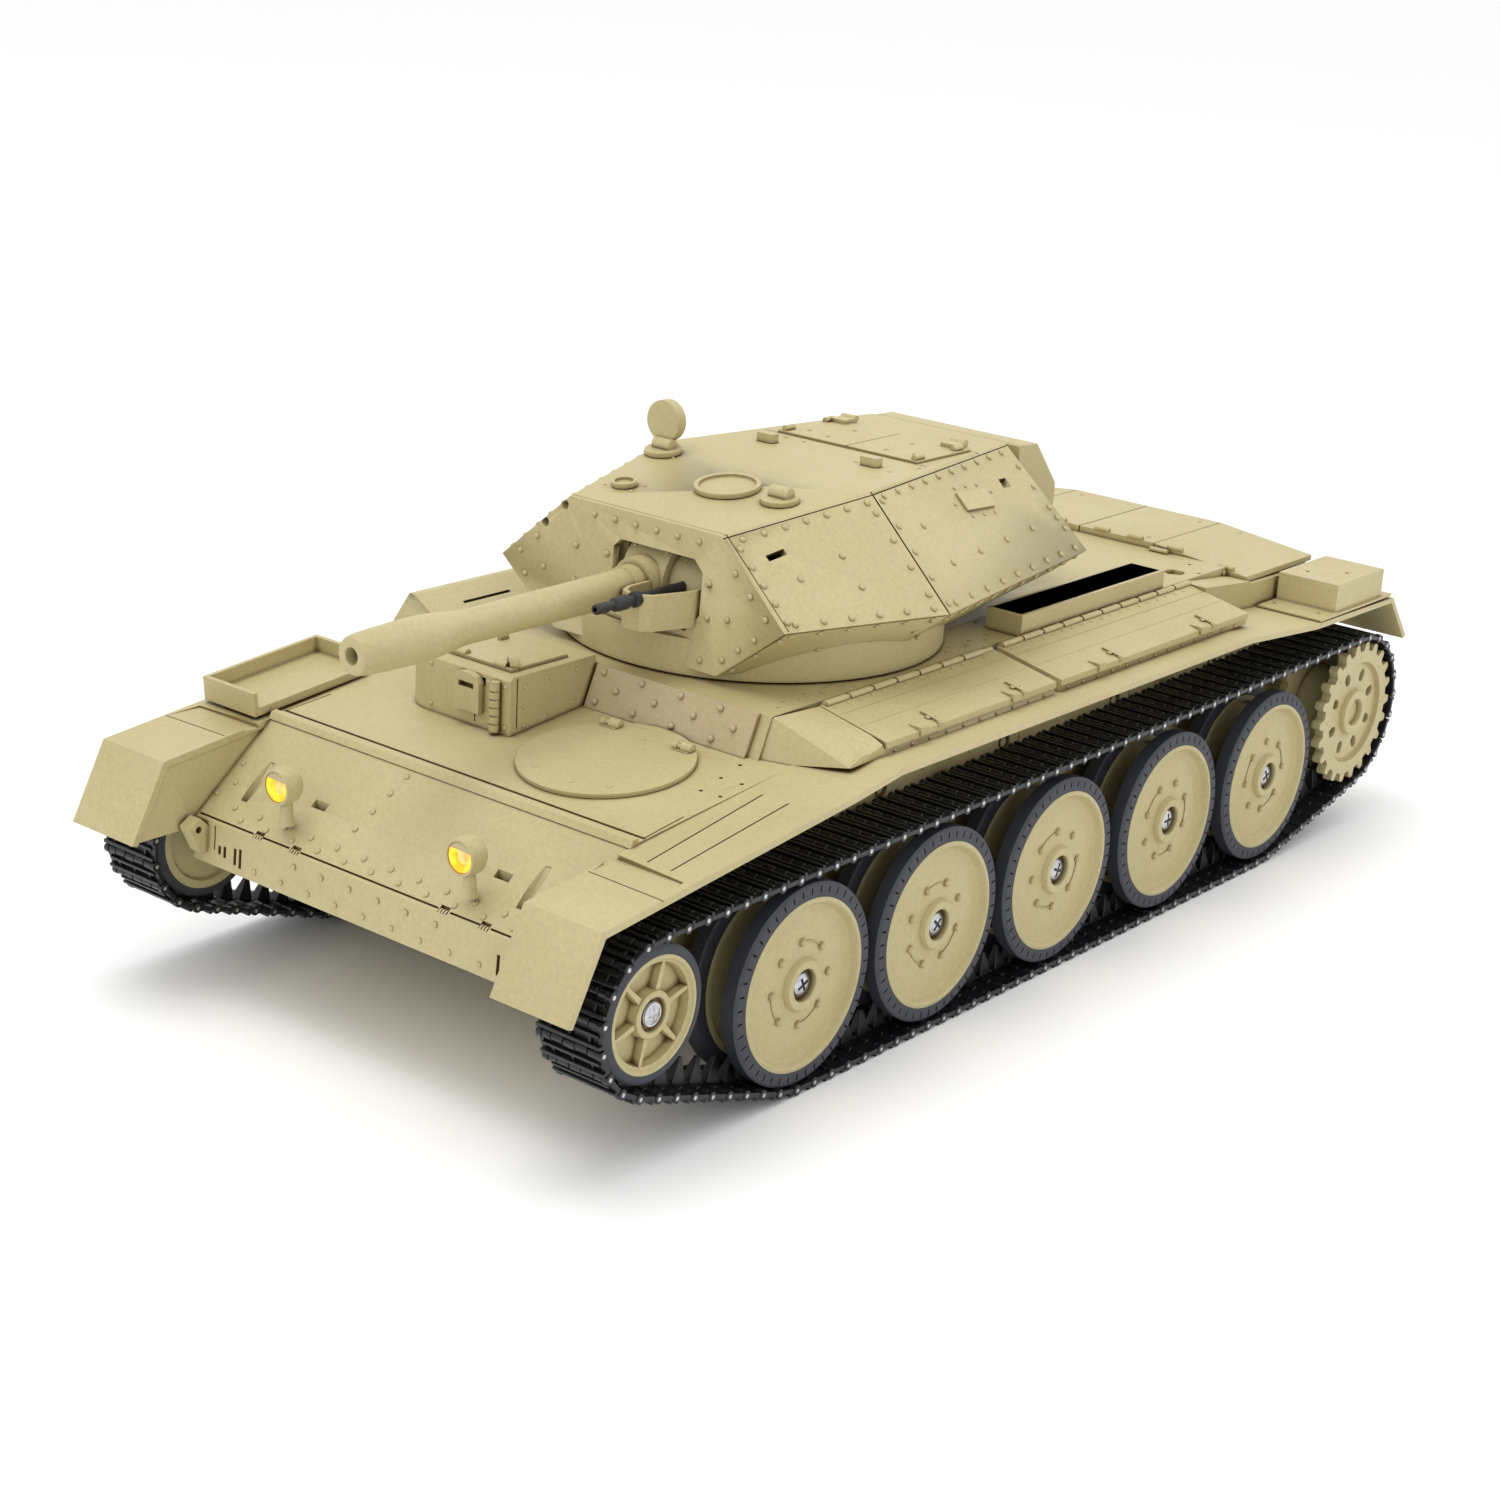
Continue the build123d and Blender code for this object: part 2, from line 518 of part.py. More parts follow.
# ---------------------------------------------------------------- drive and electrics
def build_internals():
    gearboxes = []
    motors = []
    for side in (-1, 1):
        housing = block(sorted((side * 40.0, side * 57.8)), (132.0, 174.0), (26.2, 52.0))
        housing &= side_extrude(
            [(130.0, 23.0), (139.0, 23.2), (176.0, 41.4), (176.0, 60.0), (130.0, 60.0)], -58.0, 58.0)
        housing -= rod_x(*SPROCKET, 2.5 + RUN_FIT, side * 46.9, side * 60.0)
        gearboxes.append(housing)
        motors.append(rod_x(142.0, 40.0, 11.5, side * 4.0, side * 39.95))
    save("gearboxes", gearboxes)
    save("drive_motors", motors)
    battery = block((-22.0, 22.0), (22.0, 94.0), (24.0, 45.0))
    door = block((-25.7, 25.7), (20.3, 95.7), (BELLY_Z, 22.1))
    save("battery_door", door)
    board = block((-38.0, 38.0), (-128.0, -84.0), (30.0, 31.6)) + block(
        (-24.0, 24.0), (-120.0, -92.0), (31.6, 36.0))
    speaker = rod_z(0.0, 114.0, 16.0, 24.0, 27.0) + rod_z(0.0, 114.0, 9.0, 27.0, 38.0)
    save("electronics", [battery, board, speaker])
    screws = []
    for x, y in SCREW_XY:
        screws.append(
            rod_z(x, y, 1.45, BELLY_Z - 0.5, 30.0) + rod_z(x, y, 2.6, BELLY_Z - 1.3, BELLY_Z - 0.02))
    save("hull_screws", screws)
    motor = rod_z(0.0, PINION_Y, 9.0, 50.0, 70.0) + rod_z(0.0, PINION_Y, 1.2, 70.0, 78.4)
    save("traverse_motor", motor)
    pinion = gear(PINION_TEETH, 74.0, 78.0, 1.25)
    save("traverse_pinion", Pos(0, PINION_Y, 0) * Rot(0, 0, 180.0 / PINION_TEETH) * pinion)
    knob = block((-3.9, 3.9), (-61.0, -57.0), (BELLY_Z - 0.6, 22.0)) + block(
        (-6.6, 6.6), (-62.5, -55.5), (22.3, 23.8))
    knob += block((-3.0, 3.0), (-60.0, -58.0), (21.9, 22.4))
    save("power_switch", knob)


def gear(teeth, z0, z1, bore):
    """A straight-toothed pinion with trapezium teeth and a bore."""
    root = GEAR_MODULE * (teeth / 2 - 1.2)
    tip = GEAR_MODULE * (teeth / 2 + 0.7)
    body = rod_z(0, 0, root, z0, z1)
    half_root, half_tip = GEAR_MODULE * 0.8, GEAR_MODULE * 0.35
    for k in range(teeth):
        face = make_face(
            Polyline((root - 0.4, -half_root), (tip, -half_tip), (tip, half_tip), (root - 0.4, half_root),
            close=True))
        body += Rot(0, 0, 360.0 / teeth * k) * Pos(0, 0, z0) * extrude(face, z1 - z0)
    return body - rod_z(0, 0, bore, z0 - 1.0, z1 + 1.0)


# ---------------------------------------------------------------- turret
def turret_form(inset):
    """The faceted turret as a block, every face moved in by inset, with its tail lifted clear of the deck."""
    form = block((-80.0, 80.0), (-90.0, 60.0), (80.0, 130.0))
    planes = [((0, -78.0, 100.0), (0, -1, 0.06)), ((0, 50.5, 100.0), (0, 1, 0.12))]
    planes += [((0, -77.1, 119.6), (0, -0.124, 1)), ((0, 0, 125.6), (0, 0.004, 1))]
    planes += [((0, 0, 84.6), (0, 0, -1))]
    for sx in (-1, 1):
        planes.append(((sx * 64.0, -32.0, WAIST_Z), (sx * 0.637, -0.226, 0.737)))
        planes.append(((sx * 64.0, -32.0, WAIST_Z), (sx * 0.664, 0.103, 0.741)))
        planes.append(((sx * 64.0, -32.0, WAIST_Z), (sx * 0.600, -0.213, -0.771)))
        planes.append(((sx * 64.0, -32.0, WAIST_Z), (sx * 0.607, 0.094, -0.789)))
    for origin, normal in planes:
        n = Vector(*normal).normalized()
        o = Vector(*origin) - n * inset
        form = split(form, bisect_by=Plane(origin=o, z_dir=n), keep=Keep.BOTTOM)
    (y0, z0), (y1, z1), (y2, z2) = TAIL
    under = [(y0 - inset, z0), (y1 - inset, z1 + inset), (y2, z2 + inset), (y2, z0)]
    return form - side_extrude(under, -80.0, 80.0)


def port_outline():
    """The gun port in the front plate, with rounded top corners and a chamfered corner at the left below."""
    x0, x1 = -9.2, 20.6
    z0, z1 = 93.6, 112.2
    return [(x0, z0), (16.4, z0), (x1, 98.4), (x1, 109.2), (17.6, z1), (x0 + 2.2, z1), (x0, z1 - 2.2)]


def turret_shell():
    """The hollow turret body with its gun port, hatch opening and floor opening."""
    shell = turret_form(0.0) - turret_form(2.2)
    port = Plane.XZ.offset(90.0) * make_face(Polyline(*port_outline(), close=True))
    shell -= extrude(port, -20.0)
    shell -= block((-HATCH_X, HATCH_X), HATCH_Y, (118.0, 130.0))
    for x0, x1 in ((-15.5, -11.0), (20.9, 25.0)):
        ear = block((x0, x1), (TRUNNION_Y - 5.0, TRUNNION_Y + 5.0), (GUN_Z - 6.0, 124.0))
        shell += (ear & turret_form(1.0)) - rod_x(TRUNNION_Y, GUN_Z, 2.5 + RUN_FIT, x0 - 1.0, x1 + 1.0)
    return shell - rod_z(0.0, RING_Y, 36.0, 80.0, 90.0)


def turret_base():
    """The round base under the turret, with the spigot that turns in the hull roof and the inner ring gear."""
    base = rod_z(0.0, RING_Y, RING_R, 82.5, 84.55)
    skirt = rod_z(0.0, RING_Y, RING_R, 84.4, 92.0) - rod_z(0.0, RING_Y, RING_R - 2.0, 84.0, 93.0)
    base += skirt - turret_form(-0.03)
    base += rod_z(0.0, RING_Y, SPIGOT_R, 74.0, 82.6)
    gear_r = GEAR_MODULE * RING_TEETH / 2
    base -= rod_z(0.0, RING_Y, gear_r + 1.1, 73.0, 86.0)
    outline = [(gear_r + 1.3, -0.8), (gear_r - 0.45, -0.3), (gear_r - 0.45, 0.3), (gear_r + 1.3, 0.8)]
    tooth = Pos(0, RING_Y, 74.0) * extrude(make_face(Polyline(*outline, close=True)), 4.0)
    for k in range(RING_TEETH):
        base += tooth.rotate(Axis((0, RING_Y, 0), (0, 0, 1)), 360.0 / RING_TEETH * k)
    return base


def turret_bin():
    """The stowage bin on the turret's rear, a hollow wedge box."""
    outer = [(51.4, 122.5), (72.0, 121.5), (78.0, 112.0), (74.0, 105.0), (53.6, 103.0)]
    inner = [(53.0, 121.0), (71.3, 120.2), (76.3, 112.0), (73.0, 106.6), (55.0, 104.8)]
    return side_extrude(outer, -26.0, 26.0) - side_extrude(inner, -24.4, 24.4)


def turret_hatch():
    """The wide roof hatch with hinge barrels along its rear edge."""
    y0, y1 = HATCH_Y
    lid = block((-HATCH_X + 0.3, HATCH_X - 0.3), (y0 + 0.3, y1 - 0.3), (124.0, 126.2))
    for x in (-19.0, 19.0):
        lid += rod_x(y1 + 1.2, 127.0, 1.1, x - 2.5, x + 2.5) + block(
            (x - 2.5, x + 2.5), (y1 - 4.0, y1 + 1.2), (126.0, 127.4))
    return lid


def on_slope(x, y, lift, piece):
    """The piece set on the turret's sloping front roof at x, y, its own origin lifted a little off it."""
    return Pos(x, y, 119.6 + 0.124 * (y + 77.1) + lift) * Rot(7.1, 0, 0) * piece


def roof_fittings():
    """Small fittings on the turret roof: a port ring, a vent ring, two periscopes, two lugs and a spot lamp."""
    fittings = []
    for (x, y), r, wall in ((PORT_RING, 8.7, 1.2), (VENT_RING, 3.4, 0.9)):
        fittings.append(on_slope(x, y, 0.72, rod_z(0, 0, r, -0.6, 0.8) - rod_z(0, 0, r - wall, 0.0, 1.8)))
    for x, y in PERISCOPES:
        cover = rod_z(0, 0, 5.0, -0.5, 0.9) + Pos(0, 0.5, 1.6) * Rot(0, 90, 0) * Cylinder(1.9, 6.0)
        fittings.append(on_slope(x, y, 0.62, cover))
    for x0, x1, y0, y1 in ((15.0, 20.4, -8.4, -5.4), (-20.4, -15.0, -8.4, -5.4)):
        fittings.append(block((x0, x1), (y0, y1), (125.7, 128.2)))
    lamp = rod_y(-30.0, 133.0, 5.6, -36.6, -33.4) + block((-31.0, -29.0), (-36.0, -34.0), (123.0, 128.0))
    trim = turret_form(-0.03)
    return fittings + [lamp - trim]


def build_turret():
    save("turret_shell", turret_shell())
    save("turret_base", turret_base())
    save("turret_bin", turret_bin())
    save("turret_hatch", turret_hatch())
    save("roof_fittings", roof_fittings())
    servo = block((22.4, 34.0), (-58.0, -40.0), (96.0, 112.0)) + rod_x(-50.0, 104.0, 2.0, 20.0, 22.5)
    save("elevation_servo", servo)


def gun_cradle():
    """The mantlet block with its trunnion pins, the curved front and the bracket beside the machine gun."""
    y, z = TRUNNION_Y, GUN_Z
    drum = rod_x(y, z, 9.0, -7.6, 19.0)
    drum += block((-7.6, 19.0), (y, y + 7.0), (z - 7.0, z + 7.0))
    drum += rod_x(y, z, 2.5, -15.0, 24.5)
    drum -= rod_y(0.0, z, 5.22, -90.0, y + 6.0)
    return drum - rod_y(*COAX, 1.42, -90.0, y - 2.0)


def gun_barrel():
    """The barrel: a tapered tube with a swelling behind the muzzle and a bore."""
    profile = [
        (MUZZLE_Y, 0.0), (MUZZLE_Y, 4.6), (-172.0, 5.0), (-160.0, 5.5), (-152.0, 5.5), (-146.0, 4.9), (-141.0, 4.2),
        (-100.0, 4.4), (-84.0, 4.6), (-84.0, 5.2), (-60.1, 5.2), (-60.1, 0.0),
    ]
    face = make_face(Polyline(*[(r, y) for y, r in profile], close=True))
    barrel = Pos(0, 0, GUN_Z) * revolve(face, Axis.Y)
    return barrel - rod_y(0.0, GUN_Z, 2.0, MUZZLE_Y - 1.0, MUZZLE_Y + 14.0)


def build_gun():
    save("gun_cradle", gun_cradle())
    save("gun_barrel", gun_barrel())
    save("muzzle_lamp", rod_y(0.0, GUN_Z, 1.95, MUZZLE_Y + 4.0, MUZZLE_Y + 12.0))
    machine_gun = rod_y(*COAX, 1.4, COAX_TIP_Y, TRUNNION_Y - 2.1)
    for y in (COAX_TIP_Y + 6.5, COAX_TIP_Y + 13.0):
        machine_gun += rod_y(*COAX, 2.1, y, y + 4.5)
    save("coaxial_gun", machine_gun)


os.makedirs("parts", exist_ok=True)
build_running_gear()
build_hull()
build_internals()
build_turret()
build_gun()
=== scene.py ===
"""The looks of a 1/16 scale radio-controlled cruiser tank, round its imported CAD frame.

+X is the tank's left, it faces -Y, and the ground is z = 0. Shapes are made in millimetres and
turned into metres as each piece is finished. CAD shells are copied, engraved and given
rounded edges; wheels, tracks, rivets, screws, hinges and lamps are made here.
"""
import math

import bmesh
import bpy
from mathutils import Matrix, Vector


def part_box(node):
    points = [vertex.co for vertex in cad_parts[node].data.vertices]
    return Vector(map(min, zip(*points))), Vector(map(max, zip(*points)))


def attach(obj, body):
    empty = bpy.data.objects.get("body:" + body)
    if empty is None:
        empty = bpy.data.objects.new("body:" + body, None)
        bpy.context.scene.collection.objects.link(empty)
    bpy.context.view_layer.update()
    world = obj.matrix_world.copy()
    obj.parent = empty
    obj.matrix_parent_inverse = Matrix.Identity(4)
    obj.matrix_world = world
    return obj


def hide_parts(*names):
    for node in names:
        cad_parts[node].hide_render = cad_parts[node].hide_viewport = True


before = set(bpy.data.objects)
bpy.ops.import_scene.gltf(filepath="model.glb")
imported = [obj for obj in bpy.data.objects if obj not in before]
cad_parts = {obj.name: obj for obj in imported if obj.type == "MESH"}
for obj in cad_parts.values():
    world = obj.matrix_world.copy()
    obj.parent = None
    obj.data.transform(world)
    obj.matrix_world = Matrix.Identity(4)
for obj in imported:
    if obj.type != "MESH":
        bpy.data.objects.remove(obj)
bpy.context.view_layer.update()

MM = 0.001
SIDES = (("left", 1), ("right", -1))

# Running gear, as in the CAD model
WHEEL_Y = (-107.9, -54.2, 0.0, 55.5, 110.6)
WHEEL_Z = 28.0
IDLER = (-160.4, 36.6, 18.15)
SPROCKET = (162.1, 36.6, 23.1)
BELT_WHEEL_R = 25.94
WHEEL_MIDDLE = 75.0
TRACK_IN, TRACK_OUT = 65.1, 84.5
DISH_BOLT_R = 10.6
LINK_PITCH = 6.576

# Hull planes and lines
RIDGE = (-145.0, 66.7)
NOSE = (-170.0, 46.0)
DECK_END = (-91.5, 71.85)
ROOF_Z = 82.0
HULL_X = 61.0
FENDER_TIP = (-180.0, 62.3)
DECK_SEAM_Y = -141.3
NOSE_FOLD = (-169.2, 46.66)
FOLD_BRACKETS = (25.3, 38.4)
POCKET_Y = (-108.0, -52.0, 2.5, 57.0, 110.0)
CAB_SIDE_X, CAB_FRONT_Y = -4.5, -118.4
LAMP = (31.0, -170.4, 61.4)

# Turret
WAIST = (64.0, -32.0, 100.0)
GUN_Z = 102.5
TRUNNION_Y = -66.0
ROUND_PORT = (3.8, -49.2)
PISTOL_PORT = (37.8, 13.4, 117.1)
PERISCOPES = ((21.4, -49.4), (-29.0, -37.0))


# ---------------------------------------------------------------- mesh tools, in millimetres
ONE = Matrix.Identity(4)


def local(origin, direction, up=(0, 0, 1)):
    """The transform with its z axis along direction from origin and its y axis leaning towards up."""
    z = Vector(direction).normalized()
    x = Vector(up).cross(z)
    if x.length < 1e-4:
        x = Vector((0, 1, 0)).cross(z)
    x.normalize()
    place = Matrix((x, z.cross(x), z)).transposed().to_4x4()
    place.translation = Vector(origin)
    return place


def add(bm, points, faces, place=ONE):
    verts = [bm.verts.new(place @ Vector(p)) for p in points]
    for face in faces:
        bm.faces.new([verts[i] for i in face])


def prism(bm, outline, z0, z1, place=ONE):
    """A straight bar with an (x, y) outline from z0 to z1."""
    n = len(outline)
    points = [(x, y, z0) for x, y in outline] + [(x, y, z1) for x, y in outline]
    faces = [tuple(reversed(range(n))), tuple(range(n, 2 * n))]
    faces += [(i, (i + 1) % n, n + (i + 1) % n, n + i) for i in range(n)]
    add(bm, points, faces, place)


def brick(bm, low, high, place=ONE):
    (x0, y0, z0), (x1, y1, z1) = low, high
    prism(bm, [(x0, y0), (x1, y0), (x1, y1), (x0, y1)], z0, z1, place)


def lathe(bm, profile, place=ONE, segments=48):
    """Turns (z, radius) points round the z axis; an outline that is off the axis closes on itself."""
    rings = []
    for z, r in profile:
        count = segments if r > 1e-6 else 1
        angles = [2 * math.pi * k / segments for k in range(count)]
        rings.append([bm.verts.new(place @ Vector((r * math.cos(a), r * math.sin(a), z))) for a in angles])
    pairs = list(zip(rings, rings[1:]))
    if len(rings[0]) > 1 and len(rings[-1]) > 1:
        pairs.append((rings[-1], rings[0]))
    for a, b in pairs:
        for k in range(segments):
            j = k + 1
            corners = [a[k % len(a)], a[j % len(a)], b[j % len(b)], b[k % len(b)]]
            corners = list(dict.fromkeys(corners))
            if len(corners) > 2:
                bm.faces.new(corners)


def rod(bm, radius, z0, z1, place=ONE, segments=24):
    """A plain round bar whose outline runs from z0 to z1."""
    lathe(bm, [(z0, 0), (z0, radius), (z1, radius), (z1, 0)], place, segments)


def dome(bm, point, normal, radius=0.9, height=0.62):
    """A round rivet head, sunk a little into the plate."""
    profile = [(-0.3, 0), (-0.3, radius), (0.12, radius)]
    profile += [(height * 0.62, radius * 0.8), (height * 0.93, radius * 0.42), (height, 0)]
    lathe(bm, profile, local(point, normal), 10)


def hex_bolt(bm, point, normal, radius=0.8, height=0.6):
    rim = [(radius * math.cos(math.radians(60 * k)),
            radius * math.sin(math.radians(60 * k))) for k in range(6)]
    prism(bm, rim, -0.3, height, local(point, normal))


def groove(bm, a, b, normal, width=0.5, depth=0.6):
    """A cutter for a line engraved from a to b in the face with that normal."""
    a, b = Vector(a), Vector(b)
    place = local(a, normal, b - a)
    length = (b - a).length
    brick(bm, (-width / 2, -width / 2, -depth), (width / 2, length + width / 2, depth), place)


def row(a, b, count):
    """Evenly spaced points from a to b, both included."""
    a, b = Vector(a), Vector(b)
    return [a.lerp(b, k / (count - 1)) for k in range(count)]


def meet(a, b, c):
    """The corner of three planes, each a point and a normal."""
    planes = (a, b, c)
    rows = Matrix([Vector(n) for _, n in planes])
    return rows.inverted() @ Vector([Vector(p).dot(Vector(n)) for p, n in planes])


def evaluated(mesh, modifiers):
    """The mesh after modifiers given as (type, {setting: value})."""
    obj = bpy.data.objects.new("work", mesh)
    bpy.context.scene.collection.objects.link(obj)
    for kind, settings in modifiers:
        modifier = obj.modifiers.new(kind, kind)
        for key, value in settings.items():
            setattr(modifier, key, value)
    depsgraph = bpy.context.evaluated_depsgraph_get()
    result = bpy.data.meshes.new_from_object(obj.evaluated_get(depsgraph))
    bpy.data.objects.remove(obj)
    return result


def mesh_of(bm):
    bmesh.ops.recalc_face_normals(bm, faces=bm.faces)
    mesh = bpy.data.meshes.new("work")
    bm.to_mesh(mesh)
    bm.free()
    return mesh


def cad_copy(node):
    """The CAD node's mesh in millimetres, welded, with its flat facets joined."""
    bm = bmesh.new()
    bm.from_mesh(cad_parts[node].data)
    bmesh.ops.scale(bm, vec=(1 / MM,) * 3, verts=bm.verts)
    bmesh.ops.remove_doubles(bm, verts=bm.verts, dist=0.004)
    bmesh.ops.dissolve_limit(bm, angle_limit=math.radians(0.6), verts=bm.verts, edges=bm.edges)
    mesh = bpy.data.meshes.new("work")
    bm.to_mesh(mesh)
    bm.free()
    return mesh


def carved(mesh, cutters):
    """The mesh with every cutter taken away."""
    tool = bpy.data.objects.new("tool", mesh_of(cutters))
    bpy.context.scene.collection.objects.link(tool)
    settings = {"operation": "DIFFERENCE", "solver": "EXACT", "use_self": True, "object": tool}
    result = evaluated(mesh, [("BOOLEAN", settings)])
    bpy.data.objects.remove(tool)
    return result


def piece(name, mesh, body, stands_for=(), slot="sand_plastic", material=None, bevel=0.0, sharp=38.0):
    """Finishes a shape as a shown piece: rounds its edges, turns it into metres and ties it to its body."""
    if isinstance(mesh, bmesh.types.BMesh):
        mesh = mesh_of(mesh)
    if bevel:
        rounding = {"width": bevel, "segments": 2, "limit_method": "ANGLE", "angle_limit": math.radians(27)}
        rounding.update(use_clamp_overlap=True, miter_outer="MITER_ARC", harden_normals=False)
        mesh = evaluated(mesh, [("BEVEL", rounding)])
    mesh.polygons.foreach_set("use_smooth", [True] * len(mesh.polygons))
    mesh.set_sharp_from_angle(angle=math.radians(sharp))
    mesh = evaluated(mesh, [("WEIGHTED_NORMAL", {"keep_sharp": True, "weight": 60})])
    mesh.transform(Matrix.Scale(MM, 4))
    mesh.materials.clear()
    mesh.materials.append(material or SLOT_MATERIALS[slot])
    mesh.name = name
    obj = bpy.data.objects.new(name, mesh)
    bpy.context.scene.collection.objects.link(obj)
    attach(obj, body)
    if stands_for:
        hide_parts(*stands_for)
    return obj


def stamped(template, places):
    """One mesh made of a copy of the template at every place."""
    points = [v.co.copy() for v in template.vertices]
    faces = [tuple(p.vertices) for p in template.polygons]
    all_points = []
    all_faces = []
    for place in places:
        start = len(all_points)
        all_points += [place @ p for p in points]
        all_faces += [tuple(start + i for i in face) for face in faces]
    mesh = bpy.data.meshes.new("work")
    mesh.from_pydata(all_points, [], all_faces)
    return mesh


# ---------------------------------------------------------------- materials
class Nodes:
    """A small helper for building a node tree."""

    def __init__(self, name):
        self.material = bpy.data.materials.new(name)
        self.material.use_nodes = True
        self.tree = self.material.node_tree
        self.shader = self.tree.nodes["Principled BSDF"]

    def new(self, kind, **settings):
        node = self.tree.nodes.new("ShaderNode" + kind)
        for key, value in settings.items():
            setattr(node, key, value)
        return node

    def link(self, source, target):
        self.tree.links.new(source, target)

    def noise(self, scale, detail=3.0, roughness=0.55, stretch=(1, 1, 1)):
        """Noise on object coordinates; scale is in cycles per metre."""
        where = self.new("TexCoord")
        mapping = self.new("Mapping")
        mapping.inputs["Scale"].default_value = stretch
        self.link(where.outputs["Object"], mapping.inputs["Vector"])
        noise = self.new("TexNoise")
        noise.inputs["Scale"].default_value = scale
        noise.inputs["Detail"].default_value = detail
        noise.inputs["Roughness"].default_value = roughness
        self.link(mapping.outputs["Vector"], noise.inputs["Vector"])
        return noise.outputs["Fac"]

    def ramp(self, source, stops):
        """Colours along a value; stops are (position, colour)."""
        ramp = self.new("ValToRGB")
        elements = ramp.color_ramp.elements
        while len(elements) < len(stops):
            elements.new(0.5)
        for element, (position, colour) in zip(elements, stops):
            element.position = position
            element.color = (*colour, 1.0)
        self.link(source, ramp.inputs["Fac"])
        return ramp.outputs["Color"]

    def mix(self, fac, a, b, mode="MIX"):
        mix = self.new("Mix", data_type="RGBA", blend_type=mode)
        for value, socket in ((fac, mix.inputs[0]), (a, mix.inputs[6]), (b, mix.inputs[7])):
            if isinstance(value, bpy.types.NodeSocket):
                self.link(value, socket)
            else:
                socket.default_value = value if isinstance(value, float) else (*value, 1.0)
        return mix.outputs[2]

    def scaled(self, source, low, high):
        span = self.new("MapRange")
        span.inputs["To Min"].default_value = low
        span.inputs["To Max"].default_value = high
        self.link(source, span.inputs["Value"])
        return span.outputs["Result"]

    def occlusion_shade(self, distance_mm, low, high):
        """Painted shade mask from ambient occlusion: 0 in narrow gaps, where shade falls, and 1 on open
        faces.
        """
        shade = self.new("AmbientOcclusion", samples=6)
        shade.inputs["Distance"].default_value = distance_mm * MM
        span = self.new("MapRange", interpolation_type="SMOOTHSTEP")
        span.inputs["From Min"].default_value = low
        span.inputs["From Max"].default_value = high
        self.link(shade.outputs["AO"], span.inputs["Value"])
        return span.outputs["Result"]

    def bump(self, source, strength, distance_mm):
        bump = self.new("Bump")
        bump.inputs["Strength"].default_value = strength
        bump.inputs["Distance"].default_value = distance_mm * MM
        self.link(source, bump.inputs["Height"])
        self.link(bump.outputs["Normal"], self.shader.inputs["Normal"])


def plastic(name, light, dark, painted_shade, roughness=(0.4, 0.56), grain=1400.0, grain_mm=0.012, shade_gap_mm=2.0):
    """Moulded plastic: two close tones, painted shade darkening the gaps and a fine moulded grain."""
    n = Nodes(name)
    broad = n.scaled(n.noise(22.0, 4.0), 0.0, 1.0)
    colour = n.ramp(broad, [(0.36, dark), (0.64, light)])
    speck = n.ramp(n.noise(900.0, 2.0), [(0.3, (0.93,) * 3), (0.7, (1.05,) * 3)])
    colour = n.mix(1.0, colour, speck, "MULTIPLY")
    # painted shade: the shade colour darkens narrow gaps and creases, found by ambient occlusion
    colour = n.mix(n.occlusion_shade(shade_gap_mm, 0.30, 0.86), painted_shade, colour)
    n.link(colour, n.shader.inputs["Base Color"])
    n.link(n.scaled(n.noise(160.0, 3.0), *roughness), n.shader.inputs["Roughness"])
    n.bump(n.noise(grain, 2.0, 0.6), 0.35, grain_mm)
    return n.material


def metal(name, light, dark, roughness=(0.22, 0.4), stretch=(1, 1, 1)):
    """Bare metal with faint streaks and uneven polish."""
    n = Nodes(name)
    streaks = n.noise(500.0, 4.0, 0.6, stretch)
    colour = n.ramp(streaks, [(0.3, dark), (0.7, light)])
    n.link(colour, n.shader.inputs["Base Color"])
    n.shader.inputs["Metallic"].default_value = 1.0
    n.link(n.scaled(n.noise(260.0, 3.0), *roughness), n.shader.inputs["Roughness"])
    n.bump(streaks, 0.2, 0.01)
    return n.material


def glow(name, deep, bright, strength):
    """Lit amber lamp glass, uneven like a reflector seen through it."""
    n = Nodes(name)
    colour = n.ramp(n.noise(420.0, 2.0), [(0.35, deep), (0.65, bright)])
    n.link(colour, n.shader.inputs["Base Color"])
    n.link(colour, n.shader.inputs["Emission Color"])
    n.shader.inputs["Emission Strength"].default_value = strength
    n.shader.inputs["Roughness"].default_value = 0.12
    n.bump(n.noise(900.0, 1.0), 0.15, 0.02)
    return n.material


# The fourth colour given to each plastic is painted shade, laid into its narrow gaps and creases.
SAND = plastic("sand_plastic", (0.500, 0.430, 0.222), (0.462, 0.392, 0.192), (0.12, 0.058, 0.010))
SAND_PINK = plastic("sand_plastic_plate", (0.485, 0.400, 0.240), (0.450, 0.365, 0.205), (0.12, 0.058, 0.010))
TRACK = plastic("track_plastic", (0.0075, 0.0085, 0.012), (0.004, 0.0045, 0.0065), (0.0015, 0.0015, 0.002),
                (0.28, 0.45), 1800.0, 0.02, 1.2)
RUBBER = plastic("tyre_rubber", (0.040, 0.044, 0.055), (0.031, 0.034, 0.043), (0.006, 0.006, 0.009),
                 (0.5, 0.7), 2200.0, 0.02, 0.8)
BLACK = plastic("black_plastic", (0.022, 0.022, 0.026), (0.012, 0.012, 0.015), (0.004, 0.004, 0.005),
                (0.35, 0.5))
STEEL = metal("bright_screw", (0.66, 0.66, 0.68), (0.45, 0.45, 0.47))
DARK_STEEL = metal("dark_metal", (0.10, 0.10, 0.11), (0.05, 0.05, 0.055), (0.3, 0.5))
CAN = metal("motor_can", (0.62, 0.62, 0.60), (0.46, 0.46, 0.45), (0.25, 0.4), (1, 6, 1))
HOUSING = plastic("gear_housing", (0.10, 0.10, 0.11), (0.07, 0.07, 0.08), (0.02, 0.02, 0.02))
NYLON = plastic("gear_nylon", (0.72, 0.70, 0.62), (0.64, 0.62, 0.54), (0.25, 0.22, 0.16))
BATTERY = plastic("battery_wrap", (0.025, 0.07, 0.22), (0.018, 0.05, 0.17), (0.01, 0.02, 0.05), (0.18, 0.32))
